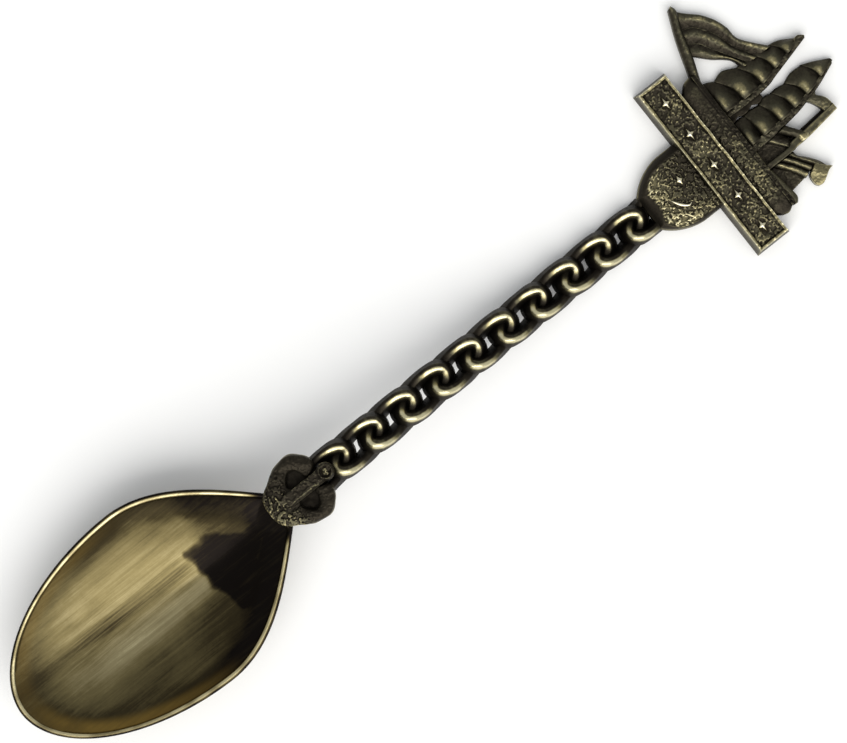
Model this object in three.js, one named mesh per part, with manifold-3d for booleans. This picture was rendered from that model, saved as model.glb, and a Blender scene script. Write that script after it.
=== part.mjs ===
// Souvenir spoon, lying face up on a table. Millimetres, +Z up.
// +X runs from the bowl along the handle to the ship, +Y is the side of the ship's bow.
// The origin is the centre of the small flat under the bowl, on the table.
//
// The bowl and every piece of the head rest on z = 0. The chain handle comes down from the
// bowl's neck to the head in a shallow S. Pieces that are soldered together on the real spoon
// keep a hairline joint between them here, so that each one is a solid of its own.

import * as THREE from 'three';
import * as BufferGeometryUtils from 'three/addons/utils/BufferGeometryUtils.js';
import Module from 'manifold-3d';

const wasm = await Module();
wasm.setup();

// ---------------------------------------------------------------- driving dimensions

const JOINT = 0.05;            // hairline between pieces that are soldered together

// bowl
const BOWL_TIP_X = -22.1;
const BOWL_WIDEST_X = 1.1;
const BOWL_HALF_WIDTH = 12.8;
const BOWL_Y = -0.3;            // the bowl sits a little to one side of the handle
const NECK_X = 17.7;
const NECK_HALF_WIDTH = 2.95;
const BOWL_RIM_Z = 7.0;        // rim height round the tip half
const NECK_RISE = 1.2;         // how much higher the rim is at the neck
const BOWL_WALL = 1.0;
const BOWL_FLAT = 0.1;         // radius of the flat underneath, as a share of the outline

// anchor
const ANCHOR_START_X = NECK_X + JOINT;
const ANCHOR_END_X = 25.6;
const ANCHOR_WIDEST_X = 23.2;
const ANCHOR_HALF_WIDTH = 4.5;
const ANCHOR_BACK_Z = 7.2;
const ANCHOR_GROUND_Z = 8.7;   // floor of the hollows between arms and shank
const ANCHOR_ARMS_Z = 10.0;
const SHANK_TOP_Z = 10.7;
const SHANK_HALF_WIDTH = 0.85;
const SHANK_START_X = 20.3;
const EYE_X = 26.0;
const EYE_RADIUS = 1.15;
const EYE_UNDER_Z = 9.85;
const PIN_RADIUS = 0.58;
const PIN_HEIGHT = 0.45;

// chain handle
const LINK_COUNT = 11;
const LINK_PITCH = 5.19;
const FIRST_LINK_X = 26.06;
const LINK_HALF_LENGTH = 3.35; // centreline of the wire
const LINK_HALF_WIDTH = 2.0;
const LINK_LEAN = 0.85;        // how far the two sides of a link are pushed apart lengthwise
const LINK_TWIST = 0.68;       // rise and fall of the wire round the link
const WIRE_WIDTH = 1.3;
const WIRE_THICKNESS = 1.0;
const HANDLE_START_Z = 8.35;
const HANDLE_END_Z = 1.3;
const HANDLE_START_SLOPE = 0.05;
const CHAIN_END_X = 77.3;

// medallion
const MEDALLION_BACK_X = 84.9;
const MEDALLION_HALF_WIDTH = 5.0;
const MEDALLION_ROUND_X = 82.6; // where its straight sides turn into the rounded end
const MEDALLION_ROUND_LENGTH = 6.3; // to the point where the rounded end would close
const MEDALLION_ROUND_POWER = 1.75;
const MEDALLION_THICKNESS = 2.2;
const MEDALLION_BEVEL = 0.8;
const TRIM_HEIGHT = 0.3;       // stars and crescent
const CRESCENT_RADIUS = 2.1;
const CRESCENT_TURN = -2.29;   // which way the crescent's back faces

// name bar
const BAR_X = 85.0;
const BAR_DEPTH = 4.95;
const BAR_HALF_LENGTH = 12.65;
const BAR_THICKNESS = 3.0;
const BAR_DRAFT = 0.35;
const BAR_BORDER = 0.32;
const BAR_RECESS = 0.4;
const BAR_STAR_COUNT = 5;
const BAR_STAR_SPACING = 4.84;
const BAR_STAR_MIDDLE_Y = -0.2;
const STAR_HALF_LENGTH = 1.0;
const STAR_HALF_WIDTH = 0.55;

// hull
const HULL_X = BAR_X + BAR_DEPTH + JOINT;
const HULL_THICKNESS = 2.6;
const DECK_X = 92.1;
const RAIL_WIDTH = 0.45;
const RAIL_THICKNESS = 2.9;
const SAIL_BASE_X = DECK_X + RAIL_WIDTH + JOINT;
const BOW_Y = 10.2;
const STERN_Y = -10.7;

// rigging
const MAST_THICKNESS = 1.7;
const SAIL_HEAD_Z = 1.2;       // a sail is thin at its head and swells towards its foot
const SAIL_FOOT_Z = 2.3;

const BRASS = { color: 0x9a8a55, roughness: 0.38, metalness: 1.0 };
const AGED_BRASS = { color: 0x5c5236, roughness: 0.55, metalness: 1.0 };
const BRIGHT_BRASS = { color: 0xc9bb86, roughness: 0.3, metalness: 1.0 };

// ---------------------------------------------------------------- helpers

const group = new THREE.Group();
group.name = 'souvenir_spoon';

function add(name, geometry, finish, position = [0, 0, 0], tiltY = 0) {
  const mesh = new THREE.Mesh(geometry, new THREE.MeshStandardMaterial(finish));
  mesh.name = name;
  mesh.position.set(...position);
  mesh.rotation.y = tiltY;
  group.add(mesh);
}

// a plate cut to an outline in the XY plane, from zBack up to zFront
function plate(outline, zBack, zFront, curveSegments = 6) {
  const geometry = new THREE.ExtrudeGeometry(outline, {
    depth: zFront - zBack,
    bevelEnabled: false,
    curveSegments,
  });
  geometry.translate(0, 0, zBack);
  return geometry;
}

// a plate whose front edge is chamfered; the outline is the foot of the chamfer
function chamferedPlate(outline, zBack, zFront, chamfer, curveSegments = 6) {
  const geometry = new THREE.ExtrudeGeometry(outline, {
    depth: zFront - zBack - chamfer,
    bevelEnabled: true,
    bevelSegments: 1,
    bevelSize: chamfer,
    bevelOffset: -chamfer,
    bevelThickness: chamfer,
    curveSegments,
  });
  geometry.translate(0, 0, zBack);
  return cut(geometry, boxBetween([-500, -500, zBack - 50], [500, 500, zBack]));
}

function boxBetween(low, high) {
  const size = high.map((value, i) => value - low[i]);
  const geometry = new THREE.BoxGeometry(...size);
  geometry.translate(...low.map((value, i) => value + size[i] / 2));
  return geometry;
}

function outlineOf(points) {
  return new THREE.Shape(points.map(([x, y]) => new THREE.Vector2(x, y)));
}

function toSolid(geometry) {
  const bare = geometry.clone();
  bare.deleteAttribute('normal');
  bare.deleteAttribute('uv');
  const merged = BufferGeometryUtils.mergeVertices(bare, 1e-5);
  const vertProperties = new Float32Array(merged.attributes.position.array);
  const triVerts = new Uint32Array(merged.index.array);
  return new wasm.Manifold(new wasm.Mesh({ numProp: 3, vertProperties, triVerts }));
}

function toGeometry(solid) {
  const mesh = solid.getMesh();
  const geometry = new THREE.BufferGeometry();
  geometry.setAttribute('position', new THREE.BufferAttribute(mesh.vertProperties, 3));
  geometry.setIndex(new THREE.BufferAttribute(mesh.triVerts, 1));
  return geometry;
}

function cut(geometry, tool) {
  return toGeometry(toSolid(geometry).subtract(toSolid(tool)));
}

function join(geometry, other) {
  return toGeometry(toSolid(geometry).add(toSolid(other)));
}

// moves every vertex by a rule that takes and returns [x, y, z]
function warp(geometry, rule) {
  const position = geometry.attributes.position;
  for (let i = 0; i < position.count; i += 1) {
    const moved = rule(position.getX(i), position.getY(i), position.getZ(i));
    position.setXYZ(i, ...moved);
  }
  position.needsUpdate = true;
  return geometry;
}

// ---------------------------------------------------------------- bowl

// outline of the bowl: pointed oval at the tip, drawn in to the neck by one smooth curve
const neckCurve = new THREE.CubicBezierCurve(
  new THREE.Vector2(BOWL_WIDEST_X, BOWL_HALF_WIDTH),
  new THREE.Vector2(BOWL_WIDEST_X + 7.2, BOWL_HALF_WIDTH),
  new THREE.Vector2(NECK_X - 4.5, NECK_HALF_WIDTH + 4.25),
  new THREE.Vector2(NECK_X, NECK_HALF_WIDTH),
);
const NECK_END_ANGLE = 0.14;   // the straight edge across the neck
const TIP_POWER = 1.94;        // a little more pointed than an ellipse

function bowlOutline(angle) {
  const side = Math.sign(Math.sin(angle)) || 1;
  const turn = Math.abs(Math.atan2(Math.sin(angle), Math.cos(angle)));
  if (turn < NECK_END_ANGLE) {
    return [NECK_X, (side * NECK_HALF_WIDTH * turn) / NECK_END_ANGLE];
  }
  if (turn < Math.PI / 2) {
    const t = (Math.PI / 2 - turn) / (Math.PI / 2 - NECK_END_ANGLE);
    const point = neckCurve.getPoint(t);
    return [point.x, side * point.y];
  }
  const along = Math.pow(Math.abs(Math.cos(turn)), 2 / TIP_POWER);
  const across = Math.pow(Math.sin(turn), 2 / TIP_POWER);
  return [BOWL_WIDEST_X + (BOWL_TIP_X - BOWL_WIDEST_X) * along, side * BOWL_HALF_WIDTH * across];
}

function bowlGeometry() {
  const rimInside = 1 - 0.055;
  const outsideSteps = [0, BOWL_FLAT, 0.24, 0.38, 0.52, 0.65, 0.77, 0.89, 1];
  const insideSteps = [rimInside, 0.85, 0.74, 0.62, 0.48, 0.32, 0.16, 0];
  const outside = outsideSteps.map((r) => {
    const climb = Math.max(0, r - BOWL_FLAT) / (1 - BOWL_FLAT);
    return new THREE.Vector2(r, climb * climb);
  });
  const floor = BOWL_WALL / BOWL_RIM_Z;
  const inside = insideSteps.map((r) => {
    const climb = r / rimInside;
    return new THREE.Vector2(r, floor + (1 - floor) * climb * climb);
  });
  const unit = new THREE.LatheGeometry([...outside, ...inside], 44);
  unit.rotateX(Math.PI / 2);
  return warp(unit, (x, y, z) => {
    const radius = Math.hypot(x, y);
    const angle = Math.atan2(y, x);
    const [edgeX, edgeY] = bowlOutline(angle);
    const towardNeck = Math.pow((1 + Math.cos(angle)) / 2, 3);
    return [edgeX * radius, edgeY * radius, z * (BOWL_RIM_Z + NECK_RISE * towardNeck)];
  });
}

add('bowl', bowlGeometry(), BRASS, [0, BOWL_Y, 0]);

// ---------------------------------------------------------------- anchor at the neck

// half outline of the anchor from the neck round one fluke to the chain
function anchorHalf(side) {
  return new THREE.CubicBezierCurve(
    new THREE.Vector2(ANCHOR_START_X, side * NECK_HALF_WIDTH),
    new THREE.Vector2(ANCHOR_START_X + 1.8, side * (NECK_HALF_WIDTH + 0.9)),
    new THREE.Vector2(ANCHOR_WIDEST_X - 1.8, side * ANCHOR_HALF_WIDTH),
    new THREE.Vector2(ANCHOR_WIDEST_X, side * ANCHOR_HALF_WIDTH),
  );
}

function anchorOutline() {
  const half = (side) => {
    const arm = anchorHalf(side).getPoints(6).map((p) => [p.x, p.y]);
    const shoulder = [24.5, side * 3.75];
    return [...arm, shoulder, [ANCHOR_END_X - 0.15, side * 2.55]];
  };
  const upper = half(1);
  const lower = half(-1).reverse();
  return outlineOf([...upper, ...lower]);
}

// crown, two arms and their inward-curled flukes, in relief on the anchor's ground
function armsOutline() {
  const arm = (side) => {
    const outer = anchorHalf(side).getPoints(6).map((p) => [p.x + 0.12, p.y * 0.97]);
    const fluke = [
      [24.4, side * 3.6],
      [25.3, side * 2.4],
      [24.75, side * 1.5],
      [23.9, side * 1.3],
      [23.5, side * 2.3],
      [22.9, side * 3.0],
      [21.9, side * 3.0],
      [21.0, side * 2.2],
      [20.3, side * 1.0],
    ];
    return [...outer, ...fluke];
  };
  return outlineOf([...arm(1), ...arm(-1).reverse()]);
}

function shankGeometry() {
  const beam = boxBetween(
    [SHANK_START_X + JOINT, -SHANK_HALF_WIDTH, ANCHOR_GROUND_Z + JOINT],
    [ANCHOR_END_X - 0.1, SHANK_HALF_WIDTH, SHANK_TOP_Z],
  );
  const eye = new THREE.CylinderGeometry(EYE_RADIUS, EYE_RADIUS, SHANK_TOP_Z - EYE_UNDER_Z, 20);
  eye.rotateX(Math.PI / 2);
  eye.translate(EYE_X, 0, (SHANK_TOP_Z + EYE_UNDER_Z) / 2);
  return join(beam, eye);
}

function pinGeometry() {
  const top = SHANK_TOP_Z + JOINT;
  const profile = [
    new THREE.Vector2(0, top),
    new THREE.Vector2(PIN_RADIUS, top),
    new THREE.Vector2(PIN_RADIUS, top + PIN_HEIGHT * 0.4),
    new THREE.Vector2(PIN_RADIUS * 0.7, top + PIN_HEIGHT * 0.85),
    new THREE.Vector2(0, top + PIN_HEIGHT),
  ];
  const geometry = new THREE.LatheGeometry(profile, 14);
  geometry.rotateX(Math.PI / 2);
  return warp(geometry, (x, y, z) => [x + EYE_X, y, z]);
}

add('anchor_ground', plate(anchorOutline(), ANCHOR_BACK_Z, ANCHOR_GROUND_Z), AGED_BRASS);
add('anchor_arms', plate(armsOutline(), ANCHOR_GROUND_Z + JOINT, ANCHOR_ARMS_Z), AGED_BRASS);
add('anchor_shank', shankGeometry(), AGED_BRASS);
add('anchor_pin', pinGeometry(), BRIGHT_BRASS);

// ---------------------------------------------------------------- chain handle

// height and slope of the handle's middle line: level at the neck, level again at the head
function handleLine(x) {
  const length = CHAIN_END_X - NECK_X;
  const t = (x - NECK_X) / length;
  const drop = HANDLE_END_Z - HANDLE_START_Z;
  const z = HANDLE_START_Z
    + drop * (3 * t * t - 2 * t * t * t)
    + HANDLE_START_SLOPE * length * t * (1 - t) * (1 - t);
  const slope = (drop * (6 * t - 6 * t * t)) / length
    + HANDLE_START_SLOPE * (1 - t) * (1 - 3 * t);
  return { z, slope };
}

// one link of curb chain: an oval ring of flattened wire, leaning and twisted so that each
// link lies over its neighbour on one side and under it on the other
function linkGeometry() {
  const ring = new THREE.TorusGeometry(1, 0.25, 8, 30);
  return warp(ring, (x, y, z) => {
    const angle = Math.atan2(y, x);
    const outward = (Math.hypot(x, y) - 1) / 0.25;
    const upward = z / 0.25;
    const centreX = LINK_HALF_LENGTH * Math.cos(angle) + LINK_LEAN * Math.sin(angle);
    const centreY = LINK_HALF_WIDTH * Math.sin(angle);
    const centreZ = LINK_TWIST * Math.sin(2 * angle);
    const tangentX = LINK_LEAN * Math.cos(angle) - LINK_HALF_LENGTH * Math.sin(angle);
    const tangentY = LINK_HALF_WIDTH * Math.cos(angle);
    const tangent = Math.hypot(tangentX, tangentY);
    return [
      centreX + (outward * WIRE_WIDTH * tangentY) / (2 * tangent),
      centreY - (outward * WIRE_WIDTH * tangentX) / (2 * tangent),
      centreZ + (upward * WIRE_THICKNESS) / 2,
    ];
  });
}

// the end links are cut where they are soldered to the anchor and to the medallion
function placedLink(x) {
  const { z, slope } = handleLine(x);
  const geometry = linkGeometry();
  geometry.rotateY(-Math.atan(slope));
  geometry.translate(x, 0, z);
  return geometry;
}

for (let i = 0; i < LINK_COUNT; i += 1) {
  const name = `chain_link_${String(i + 1).padStart(2, '0')}`;
  const link = placedLink(FIRST_LINK_X + i * LINK_PITCH);
  const before = boxBetween([0, -10, -10], [ANCHOR_END_X + JOINT, 10, 20]);
  const after = boxBetween([CHAIN_END_X, -10, -10], [100, 10, 20]);
  const isEnd = i === 0 || i === LINK_COUNT - 1;
  add(name, isEnd ? cut(cut(link, before), after) : link, AGED_BRASS);
}

// ---------------------------------------------------------------- medallion

function medallionOutline() {
  const points = [[MEDALLION_BACK_X + 3, MEDALLION_HALF_WIDTH]];
  const steps = 20;
  for (let i = 0; i <= steps; i += 1) {
    const angle = Math.PI / 2 + (Math.PI * i) / steps;
    const power = 2 / MEDALLION_ROUND_POWER;
    const along = Math.pow(Math.abs(Math.cos(angle)), power);
    const across = Math.pow(Math.abs(Math.sin(angle)), power) * Math.sign(Math.sin(angle));
    points.push([MEDALLION_ROUND_X - MEDALLION_ROUND_LENGTH * along, MEDALLION_HALF_WIDTH * across]);
  }
  points.push([MEDALLION_BACK_X + 3, -MEDALLION_HALF_WIDTH]);
  return outlineOf(points);
}

function medallionGeometry() {
  const blank = chamferedPlate(medallionOutline(), 0, MEDALLION_THICKNESS, MEDALLION_BEVEL);
  const barSide = boxBetween([MEDALLION_BACK_X, -20, -5], [MEDALLION_BACK_X + 10, 20, 10]);
  const chainSide = boxBetween([60, -20, -5], [CHAIN_END_X + JOINT, 20, 10]);
  return cut(cut(blank, barSide), chainSide);
}

// four-pointed star, long across the spoon
function starOutline() {
  const waist = 0.13;
  return outlineOf([
    [0, STAR_HALF_LENGTH],
    [-waist, waist * 1.6],
    [-STAR_HALF_WIDTH, 0],
    [-waist, -waist * 1.6],
    [0, -STAR_HALF_LENGTH],
    [waist, -waist * 1.6],
    [STAR_HALF_WIDTH, 0],
    [waist, waist * 1.6],
  ]);
}

// thin crescent moon: the space between two arcs that meet at its two tips
function crescentOutline() {
  const tipAngle = 0.7;
  const tipX = CRESCENT_RADIUS * Math.cos(tipAngle);
  const tipY = CRESCENT_RADIUS * Math.sin(tipAngle);
  const innerRadius = CRESCENT_RADIUS * 2.4;
  const innerTipAngle = Math.asin(tipY / innerRadius);
  const innerCentreX = tipX - innerRadius * Math.cos(innerTipAngle);
  const shape = new THREE.Shape();
  shape.absarc(0, 0, CRESCENT_RADIUS, -tipAngle, tipAngle, false);
  shape.absarc(innerCentreX, 0, innerRadius, innerTipAngle, -innerTipAngle, true);
  return shape;
}

function crescentGeometry() {
  const geometry = plate(crescentOutline(), 0, TRIM_HEIGHT, 10);
  geometry.rotateZ(CRESCENT_TURN);
  return geometry;
}

add('medallion', medallionGeometry(), AGED_BRASS);
const medallionTop = MEDALLION_THICKNESS + JOINT;
add('medallion_star', plate(starOutline(), 0, TRIM_HEIGHT), BRIGHT_BRASS, [82.9, 0.95, medallionTop]);
add('crescent', crescentGeometry(), BRIGHT_BRASS, [82.5, -0.1, medallionTop]);

// ---------------------------------------------------------------- name bar

// a long block with sloping sides and a shallow tray in its front, left plain but for stars
function barGeometry() {
  const block = new THREE.BoxGeometry(BAR_DEPTH, 2 * BAR_HALF_LENGTH, BAR_THICKNESS);
  const middle = BAR_X + BAR_DEPTH / 2;
  warp(block, (x, y, z) => {
    const draft = z > 0 ? BAR_DRAFT : 0;
    return [middle + x - Math.sign(x) * draft, y - Math.sign(y) * draft, z + BAR_THICKNESS / 2];
  });
  const edge = BAR_DRAFT + BAR_BORDER;
  const tray = boxBetween(
    [BAR_X + edge, edge - BAR_HALF_LENGTH, BAR_THICKNESS - BAR_RECESS],
    [BAR_X + BAR_DEPTH - edge, BAR_HALF_LENGTH - edge, BAR_THICKNESS + 1],
  );
  return cut(block, tray);
}

add('name_bar', barGeometry(), AGED_BRASS);
const trayZ = BAR_THICKNESS - BAR_RECESS + JOINT;
for (let i = 0; i < BAR_STAR_COUNT; i += 1) {
  const y = BAR_STAR_MIDDLE_Y + (i - (BAR_STAR_COUNT - 1) / 2) * BAR_STAR_SPACING;
  const position = [BAR_X + BAR_DEPTH / 2, y, trayZ];
  add(`bar_star_${i + 1}`, plate(starOutline(), 0, TRIM_HEIGHT), BRIGHT_BRASS, position);
}

// ---------------------------------------------------------------- hull and deck

function hullOutline() {
  const shape = new THREE.Shape();
  shape.moveTo(HULL_X, BOW_Y - 0.8);
  shape.quadraticCurveTo(HULL_X + 0.3, BOW_Y, DECK_X - JOINT, BOW_Y + 0.15);
  shape.lineTo(DECK_X - JOINT, STERN_Y + 0.35);
  shape.quadraticCurveTo(HULL_X + 0.9, STERN_Y - 0.3, HULL_X, STERN_Y + 0.6);
  return shape;
}

add('hull', plate(hullOutline(), 0, HULL_THICKNESS), AGED_BRASS);
add(
  'deck_rail',
  boxBetween([DECK_X, STERN_Y + 0.45, 0], [DECK_X + RAIL_WIDTH, BOW_Y + 0.1, RAIL_THICKNESS]),
  AGED_BRASS,
);
add(
  'stern_rail',
  plate(outlineOf([
    [SAIL_BASE_X, -5.2],
    [SAIL_BASE_X, -10.3],
    [92.95, -10.25],
    [93.2, -9.7],
    [93.12, -9.1],
    [93.12, -5.2],
  ]), 0, 2.2),
  AGED_BRASS,
);

// ---------------------------------------------------------------- bowsprit and jib

add(
  'bowsprit',
  plate(outlineOf([
    [SAIL_BASE_X, 8.8],
    [SAIL_BASE_X, BOW_Y + 0.2],
    [91.8, BOW_Y + 0.25],
    [94.95, 18.2],
    [95.4, 18.95],
    [95.7, 18.9],
    [95.95, 17.5],
    [94.15, 12.1],
    [92.95, 8.8],
  ]), 0, 1.8),
  AGED_BRASS,
);

// the jib hangs from the top of the foremast to the bowsprit in three full folds
const jibFolds = [
  {
    outer: [[96.05, 17.3], [97.5, 16.1], [98.55, 14.5], [99.4, 12.6], [99.9, 10.2], [101.7, 7.95]],
    inner: [[100.45, 7.95], [98.45, 10.6], [97.25, 12.9], [95.65, 15.95]],
  },
  {
    outer: [[95.58, 15.85], [97.17, 12.85], [98.37, 10.55], [100.37, 7.95]],
    inner: [[98.65, 7.95], [96.55, 11.4], [94.9, 13.75]],
  },
  {
    outer: [[94.83, 13.65], [96.48, 11.32], [98.55, 7.95]],
    inner: [[97.55, 7.95], [96.8, 8.95], [94.32, 12.2]],
  },
];

jibFolds.forEach(({ outer, inner }, i) => {
  const shape = new THREE.Shape();
  shape.moveTo(...outer[0]);
  shape.splineThru(outer.slice(1).map(([x, y]) => new THREE.Vector2(x, y)));
  shape.lineTo(...inner[0]);
  shape.splineThru(inner.slice(1).map(([x, y]) => new THREE.Vector2(x, y)));
  add(`jib_fold_${i + 1}`, plate(shape, 0, 1.5, 3), AGED_BRASS);
});

// ---------------------------------------------------------------- square-rigged masts

// a mast is a tapering strip; its sails hang on the bow side of it
function mastEdges(mast) {
  const aft = new THREE.SplineCurve(mast.aftEdge.map(([x, y]) => new THREE.Vector2(x, y)));
  const widthAt = (x) => {
    const t = (x - SAIL_BASE_X) / (mast.topX - SAIL_BASE_X);
    return mast.baseWidth + (mast.topWidth - mast.baseWidth) * t;
  };
  const aftY = (x) => {
    let low = 0;
    let high = 1;
    for (let i = 0; i < 30; i += 1) {
      const middle = (low + high) / 2;
      if (aft.getPoint(middle).x < x) low = middle;
      else high = middle;
    }
    return aft.getPoint(low).y;
  };
  return { aft, aftY, foreY: (x) => aftY(x) + widthAt(x) };
}

function mastOutline(mast) {
  const { aft, foreY } = mastEdges(mast);
  const steps = 10;
  const aftPoints = aft.getPoints(steps).map((p) => [p.x, p.y]);
  const forePoints = aftPoints.map(([x]) => [x, foreY(x)]);
  const top = aftPoints[steps];
  const cap = [[mast.topX + 0.25, top[1] + mast.topWidth / 2]];
  return outlineOf([...aftPoints, ...cap, ...forePoints.reverse()]);
}

// each sail: its foot runs from the mast to an outer corner, its outer edge bulges to the bow
function sailOutline(mast, foot, head) {
  const { foreY } = mastEdges(mast);
  const shape = new THREE.Shape();
  const headX = head.mastX - JOINT;
  const headOuterX = head.outerX - JOINT;
  shape.moveTo(foot.mastX, foreY(foot.mastX) + JOINT);
  shape.quadraticCurveTo(foot.mastX, (foreY(foot.mastX) + foot.outerY) / 2, foot.outerX, foot.outerY);
  shape.quadraticCurveTo(
    (foot.outerX + headOuterX) / 2,
    Math.max(foot.outerY, head.outerY) + foot.bulge,
    headOuterX,
    head.outerY,
  );
  shape.quadraticCurveTo(headX, (foreY(headX) + head.outerY) / 2, headX, foreY(headX) + JOINT);
  return shape;
}

function sailGeometry(mast, foot, head) {
  const sail = plate(sailOutline(mast, foot, head), 0, 1, 5);
  return warp(sail, (x, y, z) => {
    const up = (x - foot.outerX) / (head.mastX - foot.outerX);
    return [x, y, z * (SAIL_FOOT_Z + (SAIL_HEAD_Z - SAIL_FOOT_Z) * up)];
  });
}

const foremast = {
  name: 'fore',
  aftEdge: [
    [SAIL_BASE_X, 3.17], [95.6, 3.1], [98.9, 3.25], [100.8, 3.74],
    [102.9, 4.23], [104.6, 4.72], [106.6, 5.2],
  ],
  topX: 106.6,
  baseWidth: 0.95,
  topWidth: 0.62,
  feet: [
    { mastX: SAIL_BASE_X, outerX: SAIL_BASE_X, outerY: 8.65, bulge: 0 },
    { mastX: 95.6, outerX: 94.1, outerY: 8.0, bulge: 0.9 },
    { mastX: 98.6, outerX: 97.4, outerY: 7.6, bulge: 0.2 },
    { mastX: 101.05, outerX: 99.95, outerY: 7.6, bulge: 0.15 },
    { mastX: 103.4, outerX: 102.3, outerY: 7.2, bulge: 0.1 },
    { mastX: 105.4, outerX: 105.1, outerY: 6.2, bulge: 0 },
  ],
};

const mainmast = {
  name: 'main',
  aftEdge: [
    [SAIL_BASE_X, -2.28], [95, -2.15], [97.7, -1.92], [100.3, -1.58], [102.1, -1.18], [103.6, -0.78],
    [105.6, -0.05], [107.2, 0.75],
  ],
  topX: 107.2,
  baseWidth: 1.15,
  topWidth: 0.45,
  feet: [
    { mastX: SAIL_BASE_X, outerX: SAIL_BASE_X, outerY: 2.15, bulge: 0.1 },
    { mastX: 94.7, outerX: 94.4, outerY: 2.3, bulge: 0.35 },
    { mastX: 97.5, outerX: 96.7, outerY: 2.2, bulge: 0.3 },
    { mastX: 99.9, outerX: 98.8, outerY: 2.4, bulge: 0.3 },
    { mastX: 102.2, outerX: 100.9, outerY: 2.35, bulge: 0.9 },
    { mastX: 104.9, outerX: 103.9, outerY: 2.85, bulge: -0.2 },
    { mastX: 107, outerX: 106.8, outerY: 1.5, bulge: 0 },
  ],
};

for (const mast of [foremast, mainmast]) {
  add(`${mast.name}mast`, plate(mastOutline(mast), 0, MAST_THICKNESS), AGED_BRASS);
  for (let i = 0; i < mast.feet.length - 1; i += 1) {
    const sail = sailGeometry(mast, mast.feet[i], mast.feet[i + 1]);
    add(`${mast.name}_sail_${i + 1}`, sail, AGED_BRASS);
  }
}

// low web of metal left between the feet of the two stacks of sails
add(
  'sail_web',
  plate(outlineOf([[SAIL_BASE_X, 2.56], [SAIL_BASE_X, 3.0], [97.8, 3.0], [97.4, 2.6]]), 0, 0.8),
  AGED_BRASS,
);

// ---------------------------------------------------------------- mizzen and stern

const sternPieces = {
  mizzenmast: {
    thickness: 1.8,
    points: [
      [SAIL_BASE_X, -4.4], [SAIL_BASE_X, -5.1], [96.5, -5.12], [104, -4.3], [104.15, -3.4],
      [102.5, -3.2], [99.15, -3.55], [98.5, -4.4],
    ],
  },
  gaff: {
    thickness: 1.6,
    points: [
      [101.55, -1.38], [103.2, -0.97], [103.25, -1.5],
      [103.75, -2.4], [104.08, -3.33], [102.5, -3.13],
    ],
  },
  mizzen_sail: {
    thickness: 1.0,
    points: [[SAIL_BASE_X, -2.36], [95.3, -2.22], [96.5, -4.33], [SAIL_BASE_X, -4.33]],
  },
  mizzen_boom_lower: {
    thickness: 1.6,
    points: [[95.37, -2.2], [96.4, -2.12], [98.1, -4.33], [96.58, -4.33]],
  },
  mizzen_boom_upper: {
    thickness: 1.7,
    points: [[96.47, -2.1], [97.5, -2.0], [99.1, -3.5], [98.46, -4.33], [98.18, -4.33]],
  },
  stern_fold_1: {
    thickness: 1.7,
    points: [[95.57, -5.2], [96.5, -5.2], [98.7, -9.0], [97.55, -7.85]],
  },
  stern_fold_2: {
    thickness: 1.6,
    points: [[94.57, -5.2], [95.5, -5.2], [97.48, -7.85], [96.82, -8.35]],
  },
  stern_fold_3: {
    thickness: 1.5,
    points: [[93.62, -5.2], [94.5, -5.2], [96.75, -8.4], [95.75, -8.85]],
  },
  stern_sail: {
    thickness: 1.1,
    points: [[93.17, -5.2], [93.54, -5.2], [95.68, -8.9], [93.3, -9.0]],
  },
  ensign: {
    thickness: 1.9,
    points: [
      [97.53, -7.92], [98.7, -9.07], [99.08, -9.5], [98.4, -9.45], [97.8, -10.1],
      [96.84, -10.5], [96.2, -9.7], [95.9, -8.87], [96.82, -8.43],
    ],
  },
};

for (const [name, { thickness, points }] of Object.entries(sternPieces)) {
  add(name, plate(outlineOf(points), 0, thickness), AGED_BRASS);
}

export default group;
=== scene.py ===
"""Looks of the souvenir spoon: every piece rebuilt finely in the place the frame gives it."""

from math import atan, cos, pi, radians, sin

import bpy
import numpy as np
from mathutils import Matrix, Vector


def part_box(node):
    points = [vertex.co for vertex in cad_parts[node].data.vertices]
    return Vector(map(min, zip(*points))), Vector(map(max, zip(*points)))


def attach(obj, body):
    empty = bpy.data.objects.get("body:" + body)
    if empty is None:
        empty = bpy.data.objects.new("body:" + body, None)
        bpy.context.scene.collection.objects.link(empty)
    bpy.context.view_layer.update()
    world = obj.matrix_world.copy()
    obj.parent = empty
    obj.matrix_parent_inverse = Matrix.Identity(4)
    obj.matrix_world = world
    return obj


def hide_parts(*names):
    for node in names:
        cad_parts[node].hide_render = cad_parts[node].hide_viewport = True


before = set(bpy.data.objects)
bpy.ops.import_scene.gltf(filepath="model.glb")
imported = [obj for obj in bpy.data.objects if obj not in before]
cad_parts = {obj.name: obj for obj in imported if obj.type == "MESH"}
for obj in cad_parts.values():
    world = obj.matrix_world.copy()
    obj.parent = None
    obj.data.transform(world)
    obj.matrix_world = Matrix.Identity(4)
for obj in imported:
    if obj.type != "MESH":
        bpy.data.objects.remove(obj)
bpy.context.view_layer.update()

MM = 0.001                      # lengths below are in millimetres unless they say otherwise
SHARP_EDGE = radians(50)
CORNER_STEPS = 4                # grid lines in a rounded edge


# ---------------- places taken from the frame

def box(node):
    """Lowest and highest corner of a CAD node, in mm."""
    low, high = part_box(node)
    return np.array(low) / MM, np.array(high) / MM


# ---------------- small mathematics

def chance(i, j, seed):
    """Repeatable random numbers in 0..1, one for each pair of whole numbers."""
    mixed = np.sin(i * 127.1 + j * 311.7 + seed * 74.7) * 43758.5453
    return mixed - np.floor(mixed)


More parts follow.
